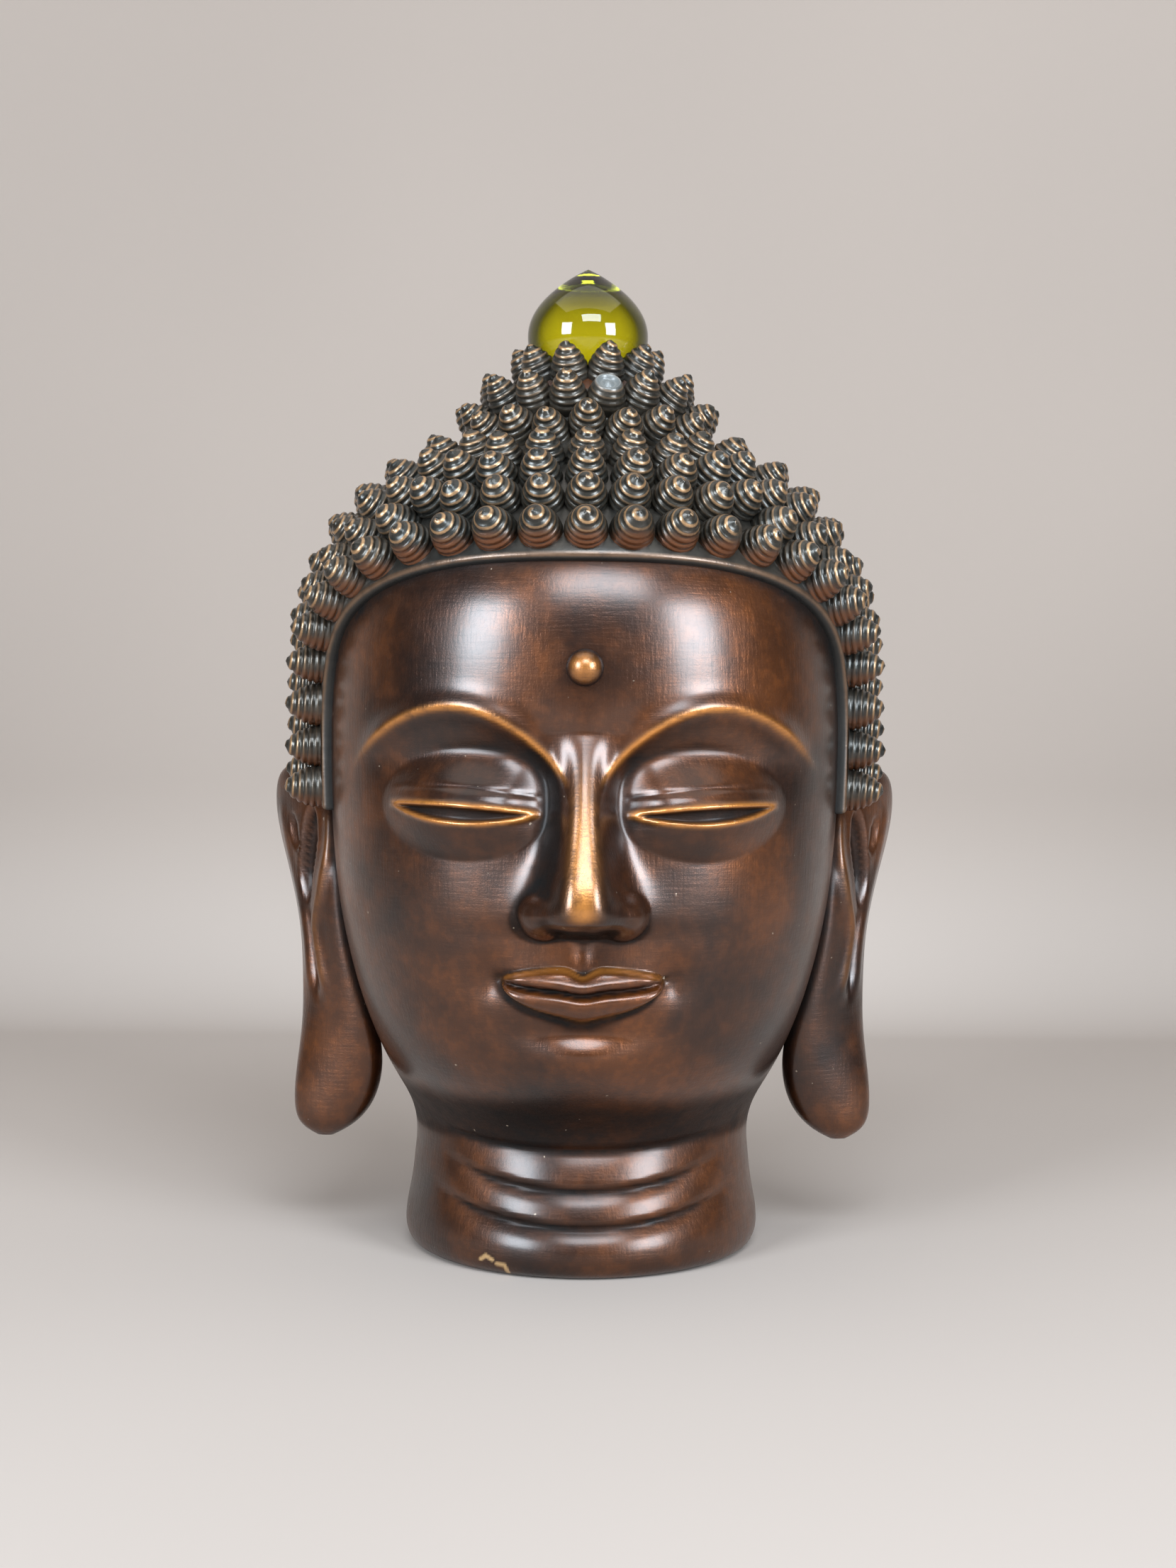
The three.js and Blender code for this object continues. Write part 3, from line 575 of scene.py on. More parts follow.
def build_skin():
    """The whole skin, from a flat closed foot to the seat of the jewel."""
    phi = np.radians(steps(SKIN_COLUMNS))[:-1]
    phi, way = np.meshgrid(phi, way_at(steps(SKIN_ROWS)))
    radius, z = ring_point(phi, way)
    x = radius * np.sin(phi)
    on_face = (np.cos(phi) > 0) & (z > CHIN_Z - 10) & (z < HAIRLINE_Z)
    chip = np.where(np.cos(phi) > 0, chip_mask(x, z), 0)
    rise = carving(phi, way) + np.where(on_face, skin_fine(x, z), 0) - CHIP_DEPTH * chip
    points = skin(phi, way, rise)
    masks = {
        "worn": np.append(worn_edges(phi, x, z), [0, 0]),
        # Painted shade and hollows of the skin, with the middle of the foot's underside a little dark.
        "shade_and_hollow": np.append(painted_shade_and_hollows(phi, x, z, rise), [0.6, 0]),
        "chip": np.append(chip, [0, 0]),
    }
    ends = [(0, 0, 0), (0, 0, points[-1, 0, 2])]
    points = np.concatenate([points.reshape(-1, 3), ends])
    return make_mesh("head_skin", points, tube_faces(*phi.shape), masks)


# Cap of hair: a sheet from the crown down to a rounded lip that follows the edge of the hair.
CAP_COLUMNS = 720
CAP_ROWS = 56
CAP_LIP = ((0, -0.3), (-0.1, 0.25), (0.1, 0.6), (0.5, 0.85), (1.1, 0.96), (2.2, 1))


def hair_edge(count):
    """Angles and heights evenly spaced along the edge of the hair, from the back round to the back."""
    phi = np.linspace(-math.pi, math.pi, 6001)
    low = np.full_like(phi, NAPE_Z - 6)
    high = np.full_like(phi, HAIRLINE_Z + 6)
    for _ in range(30):
        middle = (low + high) / 2
        outside = hair_depth(phi, middle) < 0
        low = np.where(outside, middle, low)
        high = np.where(outside, high, middle)
    points = skin(phi, way_at(high), 0)
    along = np.concatenate([[0], np.cumsum(np.linalg.norm(np.diff(points, axis=0), axis=1))])
    even = np.linspace(0, along[-1], count, endpoint=False)
    return np.interp(even, along, phi), np.interp(even, along, high)


def build_cap():
    """The cap of hair. Its lip is painted with shade where it meets the skin, and is rubbed a little on its
    edge.
    """
    phi, z = hair_edge(CAP_COLUMNS)
    way = way_at(z)
    edge = skin(phi, way, 0)
    _, _, out = skin_frame(phi, way)
    tangent = unit(np.roll(edge, -3, 0) - np.roll(edge, 3, 0))
    inward = np.cross(out, tangent)
    lift = cap_lift(phi, z)[:, None]
    rows = [edge + inward * go_in + out * height * lift for go_in, height in CAP_LIP]
    spread = np.linspace(-math.pi, math.pi, CAP_COLUMNS, endpoint=False)
    for t in np.linspace(0, 1, CAP_ROWS + 1)[1:]:
        phi_t = mix(phi, spread, smooth(0, 1, t))
        way_t = mix(way, 1, t)
        _, _, out_t = skin_frame(phi_t, np.minimum(way_t, 0.998))
        row = skin(phi_t, way_t, 0) + out_t * cap_lift(phi_t, ring_z(way_t))[:, None]
        rows.append(row + (rows[len(CAP_LIP) - 1] - edge - out * lift) * (1 - smooth(0, 0.1, t)))
    points = np.array(rows)
    # Painted shade on the foot of the lip, where the cap meets the skin.
    shade_and_hollow = np.zeros(points.shape[:2])
    shade_and_hollow[:2] = 1
    shade_and_hollow[2] = 0.5
    worn = np.zeros(points.shape[:2])
    worn[3:5] = 0.35
    masks = {"worn": np.append(worn, 0), "shade_and_hollow": np.append(shade_and_hollow, 0)}
    crown = len(rows) * CAP_COLUMNS
    faces = grid_faces(len(rows), CAP_COLUMNS, True)
    faces += fan(list(range(crown - CAP_COLUMNS, crown)), crown, True)
    flat = np.concatenate([points.reshape(-1, 3), [(0, 0, SEAT_Z)]])
    return make_mesh("hair_cap", flat, faces, masks)


# Curls


def first_places():
    """Places as angle and way. Those in the hair get a curl, and those just outside it fence them in."""
    way_step = CURL_ROW_PITCH / MERIDIAN
    places = []
    row = 0
    way = 1 - FIRST_ROW * way_step
    while ring_z(way) > HAIRLINE_Z:
        round_mm = math.pi * (ring_half(way) + (ring_front(way) + ring_back(way)) / 2 + 2 * CURL_REACH)
        count = 2 * math.floor(round_mm / CURL_PITCH / 2 + 0.5)
        start = 0.5 if row < CROWN_RINGS else 0
        places += [(2 * math.pi * (k + start) / count, way) for k in range(count)]
        row += 1
        way -= way_step
    top = way + 0.25 * way_step
    column_step = (math.pi - FIRST_COLUMN) / SIDE_COLUMNS
    for k in range(-SIDE_COLUMNS - 6, SIDE_COLUMNS + 7):
        way = top - k % 2 * CURL_PITCH / MERIDIAN / 2
        while way > LOWEST_WAY:
            places.append((math.pi + k * column_step, way))
            way -= CURL_PITCH / MERIDIAN
    phi, way = np.array(places).T
    phi = np.where(phi > math.pi, phi - 2 * math.pi, phi)
    depth = hair_depth(phi, ring_z(way))
    curl = depth > 0.62 * CURL_MARGIN
    kept = curl | ((depth > -2 * CURL_PITCH) & (depth < -0.4 * CURL_MARGIN))
    return phi[kept], way[kept], curl[kept]


def keep_margin(phi, way, curl):
    """Keeps places a margin away from the edge of the hair, and lets the curls settle towards it."""
    reach = 0.5
    z = ring_z(way)
    depth = hair_depth(phi, z)
    settling = -SETTLING * smooth(3 * CURL_PITCH, CURL_MARGIN, depth)
    curl_move = np.maximum(CURL_MARGIN - depth, settling)
    fence_move = np.minimum(-CURL_MARGIN - depth, 0)
    inwards = np.where(curl, curl_move, fence_move)
    turn = reach / SKULL_RADIUS
    across_gain = (hair_depth(phi + turn, z) - hair_depth(phi - turn, z)) / (2 * reach)
    up_gain = (hair_depth(phi, z + reach) - hair_depth(phi, z - reach)) / (2 * reach)
    gain = np.maximum(across_gain**2 + up_gain**2, 0.1)
    return phi + inwards * across_gain / gain / SKULL_RADIUS, way + inwards * up_gain / gain / MERIDIAN


def curl_places():
    """Roots on the cap of hair and axes of the curls, pushed evenly apart."""
    phi, way, curl = first_places()
    highest = way.max()
    for _ in range(EVEN_ROUNDS):
        east, north, out = skin_frame(phi, way)
        at = skin(phi, way) + out * CURL_REACH
        between = at[:, None] - at[None]
        apart = np.linalg.norm(between, axis=-1)
        np.fill_diagonal(apart, 2 * CURL_PITCH)
        shove = EVEN_PUSH * np.maximum(0, CURL_PITCH / apart - 1)
        push = (between * shove[..., None]).sum(1)
        phi = phi + (push * east).sum(-1) / (east**2).sum(-1)
        way = np.minimum(way + (push * north).sum(-1) / (north**2).sum(-1), highest)
        phi, way = keep_margin(phi, way, curl)
    phi, way = phi[curl], way[curl]
    _, _, out = skin_frame(phi, way)
    z = ring_z(way)
    root = skin(phi, way) + out * cap_lift(phi, z)[:, None]
    axis = out.copy()
    level = LEVELLING * out[:, 2] - LEVEL_DROOP
    axis[:, 2] = mix(level, out[:, 2] + STANDING_LIFT, smooth(LEVEL_Z, STANDING_Z, z))
    return phi, root, unit(axis)


# A curl is a blunt cone wound with a ridge, like a snail's shell. Its foot is sunk into the cap.
# The curls low on the head are a little wider and blunter than those by the crown. Where there are
# two values, the first is for the crown.
CURL_SIDES = 20
CURL_ROWS = 31
CURL_TURNS = 5.6
CURL_WIDTHS = (7.1, 7.5)
WALL_SWELLS = (1.6, 1.85)
WALL_TAPERS = (0.68, 0.62)
FOOT_SHARE = 0.1
CURL_BURIED = 3.4
RIDGE_HEIGHT = 0.75
TIP_SHORT = 0.3
TIP_BEND = 0.6
BREAK_DEPTH = 5.2

# Curls on the front that the years have marked: x and z of the root, the share of the ridge that is
# left, how smooth one side is rubbed, and 1 where the tip is broken off.
MARKED_CURLS = (
    ((8, 296), 0.5, 0, 1),
    ((19, 250), 0.6, 0.5, 0),
    ((37, 249), 1, 1, 0),
    ((53, 246), 1, 0.8, 0),
)


def nearest_curl(root, spot):
    """The curl on the front of the head whose root is nearest to a spot given as x and z."""
    far = np.hypot(root[:, 0] - spot[0], root[:, 2] - spot[1]) + 1000 * (root[:, 1] > 0)
    return int(far.argmin())


def curl_shape(width, height, blunt, ridge, turned, flat_side):
    """Points of a curl with +Z along its axis, how high each is on the ridge, and how far up the curl."""
    u = np.linspace(0, 1, CURL_ROWS)[:, None]
    side = np.linspace(0, 2 * math.pi, CURL_SIDES, endpoint=False)[None]
    along = np.where(u < FOOT_SHARE, 0, (u - FOOT_SHARE) / (1 - FOOT_SHARE))
    wall = width * (1 - along ** mix(*WALL_SWELLS, blunt)) ** mix(*WALL_TAPERS, blunt)
    wound = CURL_TURNS * along**0.92 + (side + turned) / (2 * math.pi)
    on_ridge = np.abs(np.cos(math.pi * wound)) ** 0.65
    fade = smooth(0, 0.06, along) * (1 - 0.5 * smooth(0.9, 1, along))
    kept = 1 - flat_side * smooth(-0.4, 0.5, np.cos(side))
    radius = wall - ridge * (1 - on_ridge) * fade * kept * np.minimum(1, wall / 2.4)
    up = mix(-CURL_BURIED, 0, np.minimum(u / FOOT_SHARE, 1)) + (height - TIP_SHORT) * along
    up = up + 0.5 * ridge * (on_ridge - 0.5) * fade * kept * smooth(0, 0.3, along)
    bend = TIP_BEND * along**2
    points = np.stack([radius * np.cos(side), radius * np.sin(side) + bend, up + 0 * side], -1)
    return points, mix(0.85, on_ridge, kept * fade), along + 0 * side


def curl_directions(axis):
    """The curl's own directions: sideways, as far upright as it can be, and along its axis."""
    rising = np.array((0, 0, 1.0)) - axis * axis[2]
    rising = unit(rising) if np.linalg.norm(rising) > 0.05 else np.array((0, -1.0, 0))
    return np.stack([np.cross(rising, axis), rising, axis])


def build_curls(name, chosen, root, axis, edge_near, marks):
    """The chosen curls as one piece."""
    rng = np.random.default_rng(SEED + len(chosen))
    shell_points = []
    shell_faces = []
    masks = {"ridge": [], "tip": [], "under": [], "bare": []}
    per_curl = CURL_ROWS * CURL_SIDES + 2
    for number, k in enumerate(chosen):
        low = smooth(300, 262, root[k, 2])
        width = mix(*CURL_WIDTHS, low) * rng.uniform(0.97, 1.03)
        height = CURL_HEIGHT * rng.uniform(0.94, 1)
        turned = rng.uniform(0, 2 * math.pi)
        ridge, flat_side, bare = marks.get(k, (RIDGE_HEIGHT, 0, 0))
        points, on_ridge, along = curl_shape(width, height, low, ridge, turned, flat_side)
        if bare:
            points[..., 2] -= BREAK_DEPTH * smooth(0.62, 0.9, along) * (0.6 + 0.4 * np.cos(2 * turned))
        tip = points[-1].mean(0) - [0, 0, 2 * bare]
        local = np.concatenate([points.reshape(-1, 3), [(0, 0, -CURL_BURIED)], [tip]])
        directions = curl_directions(axis[k])
        outward = unit(local - [0, 0, 0.35 * height]) @ directions
        shell_points.append(root[k] + local @ directions)
        shell_faces += tube_faces(CURL_ROWS, CURL_SIDES, number * per_curl)
        masks["ridge"].append(np.append(on_ridge.ravel(), [0, 0.9]))
        masks["tip"].append(np.append(along.ravel(), [0, 1]))
        masks["under"].append(smooth(-0.15, -0.8, outward[:, 2]) * edge_near[k])
        masks["bare"].append(np.append(bare * smooth(0.45, 0.75, along).ravel(), [0, 0.5 * bare]))
    joined = {mask: np.concatenate(values) for mask, values in masks.items()}
    return make_mesh(name, np.concatenate(shell_points), shell_faces, joined)


def build_all_curls():
    """The curls in four pieces, one for each side of the head."""
    phi, root, axis = curl_places()
    marks = {}
    for spot, left, rubbed, broken in MARKED_CURLS:
        marks[nearest_curl(root, spot)] = (left * RIDGE_HEIGHT, rubbed, broken)
    edge_near = smooth(16, 9, hair_depth(phi, root[:, 2]))
    quarter = np.floor((phi + math.pi / 4) / (math.pi / 2)).astype(int) % 4
    pieces = []
    for k, name in enumerate(("curls_front", "curls_right", "curls_back", "curls_left")):
        chosen = np.flatnonzero(quarter == k)
        pieces.append(build_curls(name, chosen, root, axis, edge_near, marks))
    return pieces


# One ear as a twisted plate: height, inner edge x and y, outer edge x and y, thickness.
EAR_STATIONS = np.array([
    (171.5, 97, 8, 103, 13, 3),
    (168.5, 92, 2, 110.6, 19, 8),
    (160, 89, -3, 113.6, 25, 10.5),
    (147, 87.5, -8, 112.2, 26, 11.5),
    (130, 86, -12, 107, 21, 12),
    (112, 84, -13, 102.4, 15, 12.5),
    (95, 80, -13, 101, 11, 13.5),
    (78, 75, -12, 101.2, 7, 15),
    (62, 73, -9.5, 103.2, 4, 16),
    (49, 76.4, -7, 104.2, 2, 15),
    (41, 83, -5, 102, 0, 11.5),
    (36.8, 90, -3.4, 96, -2.6, 4),
])
EAR_ROWS = 150
EAR_SIDES = 104
EAR_ROUNDNESS = 0.7
ear_down = np.linspace(0, 1, len(EAR_STATIONS))
ear_tracks = [spline(ear_down, EAR_STATIONS[:, k]) for k in range(6)]

# Carving of the ear. A place across it is a share of the width that shows from the front, from
# cheek to rim. The fore ridge winds down from the cheek to the middle. Behind it lies the hollow,
# with a small dent by its side, and further down a long groove sets off the rim.
EAR_HOLLOW_Z = 138
EAR_HOLLOW_DEPTH = 4.4
EAR_DENT_Z = 146
EAR_DENT_DEPTH = 1.7
EAR_GROOVE_DEPTH = 1.9
EAR_RIDGE_HEIGHT = 1.5
EAR_RIM_HEIGHT = 0.7
fore_ridge_at = spline(
    [30, 92, 105, 114, 123, 132, 141, 155, 172],
    [0.56, 0.58, 0.6, 0.57, 0.4, 0.24, 0.1, 0.04, 0.04],
)
hollow_at = spline(
    [30, 114, 123, 132, 141, 155, 172],
    [0.72, 0.72, 0.69, 0.6, 0.47, 0.36, 0.36],
)


def oval(across, up, half_across, half_up):
    """1 in the middle of an oval and 0 outside it, with walls between."""
    return 1 - smooth(0.3, 1.15, (across / half_across) ** 2 + (up / half_up) ** 2)


def ear_carving(z, seen):
    """How far the outer face of the ear stands out."""
    carved = (1 - smooth(150, 160, z)) * smooth(84, 98, z)
    hollow = oval(seen - hollow_at(z), z - EAR_HOLLOW_Z, 0.15, 18)
    dent = oval(seen - 0.7, z - EAR_DENT_Z, 0.07, 7)
    groove = bell(seen - 0.74, 0.055) * smooth(84, 98, z) * (1 - smooth(114, 126, z))
    rim = bell(seen - 0.87, 0.06) * carved
    ridge = bell(seen - fore_ridge_at(z), 0.09) * carved
    raised = EAR_RIDGE_HEIGHT * ridge + EAR_RIM_HEIGHT * rim
    return raised - EAR_HOLLOW_DEPTH * hollow - EAR_DENT_DEPTH * dent - EAR_GROOVE_DEPTH * groove


def plain_ear(down, turn):
    """Points of the ear before it is carved, for a way down it and an angle round its section."""
    z, inner_x, inner_y, outer_x, outer_y, thick = (track(down) for track in ear_tracks)
    wide_x = outer_x - inner_x
    wide_y = outer_y - inner_y
    length = np.hypot(wide_x, wide_y)
    out = np.sin(turn)
    face = np.sign(out) * np.abs(out) ** EAR_ROUNDNESS * thick / 2
    x = (inner_x + outer_x) / 2 + wide_x * np.cos(turn) / 2 + face * wide_y / length
    y = (inner_y + outer_y) / 2 + wide_y * np.cos(turn) / 2 - face * wide_x / length
    return x, y, z + 0 * turn


def build_ear(name, side):
    """An ear, with side 1 for the one on +X and -1 for the other."""
    down = np.linspace(0, 1, EAR_ROWS)[:, None]
    turn = np.linspace(0, 2 * math.pi, EAR_SIDES, endpoint=False)[None]
    x, y, z = plain_ear(down, turn)
    cheek = np.maximum(x.min(1, keepdims=True), ring_half(way_at(z)))
    seen = (x - cheek) / (x.max(1, keepdims=True) - cheek)
    relief = np.clip(2 * np.sin(turn), 0, 1) * ear_carving(z, seen)
    step = 0.01
    ahead = plain_ear(down, turn + step)
    behind = plain_ear(down, turn - step)
    along_x = ahead[0] - behind[0]
    along_y = ahead[1] - behind[1]
    length = np.hypot(along_x, along_y)
    points = np.stack([side * (x - relief * along_y / length), y + relief * along_x / length, z], -1)
    worn = 0.12 * smooth(0.5, 1.4, relief)
    # Painted shade in the hollows of the ear and where it meets the cheek.
    shade_and_hollow = smooth(-0.5, -3, relief)
    shade_and_hollow = np.maximum(shade_and_hollow, 0.9 * smooth(0.14, 0.02, seen) * smooth(60, 72, z))
    faces = tube_faces(EAR_ROWS, EAR_SIDES)
    if side > 0:
        faces = [face[::-1] for face in faces]
    masks = {"worn": np.append(worn, [0, 0]), "shade_and_hollow": np.append(shade_and_hollow, [0, 0])}
    ends = [points[0].mean(0), points[-1].mean(0)]
    return make_mesh(name, np.concatenate([points.reshape(-1, 3), ends]), faces, masks)


# The bead on the forehead is a ball whose middle lies a little in front of the skin.
BEAD_RADIUS = 6
BEAD_ABOVE_BROW = 25
BEAD_FORWARD = 0.18 * BEAD_RADIUS
BEAD_SIDES = 48
BEAD_ROWS = 28


def turned_piece(name, profile, sides, centre, masks):
    """A piece turned from radius and height, closed on its axis. Masks have a value for each height."""
    angle = np.linspace(0, 2 * math.pi, sides, endpoint=False)
    radius, height = np.asarray(profile[1:-1], float).T
    radius = radius[:, None]
    level = height[:, None] + 0 * angle
    points = np.stack([radius * np.cos(angle), radius * np.sin(angle), level], -1)
    ends = [(0, 0, profile[0][1]), (0, 0, profile[-1][1])]
    points = np.concatenate([points.reshape(-1, 3), ends]) + centre
    spread = {}
    for mask, values in masks.items():
        spread[mask] = np.append(np.repeat(values[1:-1], sides), [values[0], values[-1]])
    return make_mesh(name, points, tube_faces(len(radius), sides), spread)


def build_bead():
    """The bead, turned on its upright axis and then laid down so that this axis points forward."""
    root = skin(np.array(0.0), way_at(BROW_Z + BEAD_ABOVE_BROW))
    lean = np.linspace(0, math.pi, BEAD_ROWS)
    profile = [(BEAD_RADIUS * math.sin(a), -BEAD_RADIUS * math.cos(a)) for a in lean]
    profile[0] = (0, -BEAD_RADIUS)
    profile[-1] = (0, BEAD_RADIUS)
    forward = np.array([height for _, height in profile])
    edge = np.array([radius for radius, _ in profile]) > 0.8 * BEAD_RADIUS
    masks = {
        "worn": 0.45 * smooth(0.35, 0.95, forward / BEAD_RADIUS),
        # Painted shade in a band round the side of the bead, where it meets the skin.
        "shade_and_hollow": bell(forward - BEAD_FORWARD, 1.6) * edge,
    }
    made = turned_piece("brow_bead", profile, BEAD_SIDES, (0, 0, 0), masks)
    turned = np.array([vertex.co for vertex in made.data.vertices]) / MM
    laid = [turned[:, 0], root[1] - BEAD_FORWARD - turned[:, 2], root[2] + turned[:, 1]]
    made.data.vertices.foreach_set("co", (np.stack(laid, -1) * MM).ravel())
    return made


def build_jewel():
    """The jewel, with its profile smoothed and a mask of painted shade that rises towards its point."""
    reach, height = np.array(JEWEL_PROFILE).T
    along = np.concatenate([[0], np.cumsum(np.hypot(np.diff(reach), np.diff(height)))])
    even = np.linspace(along[1], along[-1], 60)
    profile = np.stack([spline(along[1:], reach[1:])(even), spline(along[1:], height[1:])(even)], -1)
    profile[:, 0] = np.clip(profile[:, 0], 0, max(reach))
    profile = [(0, 0), *profile.tolist()[:-1], (0, height[-1])]
    # Painted shade on the upper part of the glass.
    high = smooth(0.3, 0.72, np.array([up for _, up in profile]) / height[-1])
    return turned_piece("glass_jewel", profile, 96, (0, 0, SEAT_Z + JEWEL_GAP), {"high": high})


# Materials. The colours are in linear light, and the depth of the brush marks is in metres.
SPECK_COLOUR = (0.5, 0.4, 0.3, 1)
CHIP_COLOUR = (0.52, 0.33, 0.15, 1)
UNDER_COLOUR = (0.13, 0.042, 0.012, 1)
BROKEN_COLOUR = (0.13, 0.14, 0.138, 1)
LEMON = (1.0, 0.93, 0.012, 1)
# The olive of the painted shade in the jewel.
SHADE_OLIVE = (0.02, 0.022, 0.004, 1)
FLOOR_COLOUR = (0.41, 0.36, 0.325, 1)
# The wall is painted darker than the floor, as painted shade.
SHADED_WALL_COLOUR = (0.32, 0.272, 0.238, 1)
BRUSH_DEPTH = 0.0002


def add(tree, kind, inputs=None, **settings):
    """A node with its settings and inputs. An input is a value or the output that feeds it."""
    node = tree.nodes.new(kind)
    for name, value in settings.items():
        setattr(node, name, value)
    for key, value in (inputs or {}).items():
        target = node.inputs[key]
        if isinstance(value, bpy.types.NodeSocket):
            tree.links.new(value, target)
        else:
            target.default_value = value
    return node


def math_node(tree, operation, first, second=0.5, clamp=False):
    return add(tree, "ShaderNodeMath", {0: first, 1: second}, operation=operation, use_clamp=clamp).outputs[0]


def mix_colour(tree, factor, first, second, blend="MIX"):
    inputs = {"Factor": factor, 6: first, 7: second}
    return add(tree, "ShaderNodeMix", inputs, data_type="RGBA", blend_type=blend).outputs[2]


def span(tree, value, low, high, out_low=0.0, out_high=1.0):
    """The value carried from one range to another, and held at its ends."""
    inputs = {"Value": value, 1: low, 2: high, 3: out_low, 4: out_high}
    return add(tree, "ShaderNodeMapRange", inputs, interpolation_type="SMOOTHSTEP").outputs[0]


def noise(tree, scale, detail=3.0, stretch=(1, 1, 1), rough=0.55):
    place = add(tree, "ShaderNodeTexCoord").outputs["Object"]
    mapped = add(tree, "ShaderNodeMapping", {"Vector": place, "Scale": stretch}).outputs[0]
    inputs = {"Vector": mapped, "Scale": scale, "Detail": detail, "Roughness": rough}
    return add(tree, "ShaderNodeTexNoise", inputs).outputs["Fac"]


def attribute(tree, name):
    return add(tree, "ShaderNodeAttribute", attribute_name=name).outputs["Fac"]


def new_group(name, inputs, outputs):
    """An empty node group with its sockets, and its input and output nodes."""
    group = bpy.data.node_groups.new(name, "ShaderNodeTree")
    kinds = {float: "NodeSocketFloat", tuple: "NodeSocketColor"}
    for label, start in inputs.items():
        made = group.interface.new_socket(label, in_out="INPUT", socket_type=kinds[type(start)])
        made.default_value = start
    for label, kind in outputs.items():
        group.interface.new_socket(label, in_out="OUTPUT", socket_type=kinds[kind])
    return group, group.nodes.new("NodeGroupInput"), group.nodes.new("NodeGroupOutput")


def patina_group():
    """Patina in cloudy patches, with painted shade in the hollows and creases, and rubbed through on the
    raised edges.
    """
    inputs = {
        "Deep": (0.03, 0.012, 0.008, 1),
        "Warm": (0.2, 0.07, 0.02, 1),
        "Worn Metal": (0.6, 0.3, 0.1, 1),
        "Shade Dark": (0.006, 0.005, 0.004, 1),
        "Worn": 0.0,
        "Shade And Hollow": 0.0,
        "Warmth": 0.5,
    }
    group, given, result = new_group("patina", inputs, {"Colour": tuple, "Roughness": float})
    cloud = span(group, noise(group, 17.0, 4.0), 0.34, 0.68)
    speckle = noise(group, 240.0, 3.0)
    smudge = span(group, noise(group, 70.0, 5.0, rough=0.7), 0.3, 0.75)
    worn = given.outputs["Worn"]
    shade_and_hollow = given.outputs["Shade And Hollow"]
    warm = math_node(group, "MULTIPLY", cloud, given.outputs["Warmth"], True)
    warm = math_node(group, "ADD", warm, math_node(group, "MULTIPLY", smudge, 0.14), True)
    colour = mix_colour(group, warm, given.outputs["Deep"], given.outputs["Warm"])
    flecks = span(group, speckle, 0.42, 0.66, 0.82, 1.16)
    shaded = add(group, "ShaderNodeHueSaturation", {"Value": flecks, "Color": colour}).outputs[0]
    rubbed = math_node(group, "MULTIPLY", worn, span(group, speckle, 0.25, 0.55, 0.55, 1.0), True)
    shaded = mix_colour(group, rubbed, shaded, given.outputs["Worn Metal"])
    # Painted shade: the colour goes towards the shade dark where the mask of shade and hollows is set.
    shade_share = math_node(group, "MULTIPLY", shade_and_hollow, span(group, smudge, 0.0, 1.0, 0.75, 1.0), True)
    shaded = mix_colour(group, shade_share, shaded, given.outputs["Shade Dark"])
    roughness = span(group, smudge, 0.0, 1.0, 0.3, 0.42)
    roughness = math_node(group, "ADD", roughness, math_node(group, "MULTIPLY", shade_and_hollow, 0.3), True)
    group.links.new(shaded, result.inputs["Colour"])
    group.links.new(roughness, result.inputs["Roughness"])
    return group


def brushing_group():
    """The height of fine brush marks, running both up and across, and of small casting pits."""
    group, _, result = new_group("brushing", {}, {"Height": float})
    upright = noise(group, 900.0, 2.0, (1, 1, 0.12))
    level = noise(group, 900.0, 2.0, (0.12, 0.12, 1))
    grain = noise(group, 1500.0, 2.0)
    marks = math_node(group, "ADD", upright, level)
    pits = math_node(group, "MULTIPLY", grain, 0.6)
    group.links.new(math_node(group, "ADD", marks, pits), result.inputs["Height"])
    return group


def new_material(name):
    material = bpy.data.materials.new(name)
    material.use_nodes = True
    tree = material.node_tree
    return material, tree, tree.nodes["Principled BSDF"]


def use_group(tree, group, inputs=None):
    return add(tree, "ShaderNodeGroup", inputs, node_tree=group)


def set_shader(shader, **values):
    for name, value in values.items():
        shader.inputs[name.replace("_", " ")].default_value = value


def brushed_bump(tree, shader, brushing, strength):
    height = use_group(tree, brushing).outputs["Height"]
    bump = add(tree, "ShaderNodeBump", {"Strength": strength, "Distance": BRUSH_DEPTH, "Height": height})
    tree.links.new(bump.outputs[0], shader.inputs["Normal"])


def copper_skin(patina, brushing):
    """Dark red-brown copper, orange in patches, gold on its worn edges, dull in its hollows, and with painted
    shade in its hollows and creases.
    """
    material, tree, shader = new_material("copper_skin")
    inputs = {
        "Deep": (0.016, 0.0046, 0.0016, 1),
        "Warm": (0.15, 0.041, 0.0052, 1),
        "Worn Metal": (0.62, 0.24, 0.045, 1),
        # The dark of the painted shade.
        "Shade Dark": (0.004, 0.004, 0.004, 1),
        "Worn": attribute(tree, "worn"),
        "Shade And Hollow": attribute(tree, "shade_and_hollow"),
        "Warmth": 0.72,
    }
    coat = use_group(tree, patina, inputs)
    specks = span(tree, noise(tree, 420.0, 1.0), 0.79, 0.83, 0.0, 0.55)
    colour = mix_colour(tree, specks, coat.outputs["Colour"], SPECK_COLOUR)
    colour = mix_colour(tree, attribute(tree, "chip"), colour, CHIP_COLOUR)
    tree.links.new(colour, shader.inputs["Base Color"])
    tree.links.new(coat.outputs["Roughness"], shader.inputs["Roughness"])
    lacquer = span(tree, attribute(tree, "shade_and_hollow"), 0.0, 0.9, 0.8, 0.12)
    tree.links.new(lacquer, shader.inputs["Coat Weight"])
    set_shader(shader, Metallic=0.6, Specular_IOR_Level=0.35, Coat_Roughness=0.25, Coat_IOR=1.55)
    brushed_bump(tree, shader, brushing, 0.6)
    return material


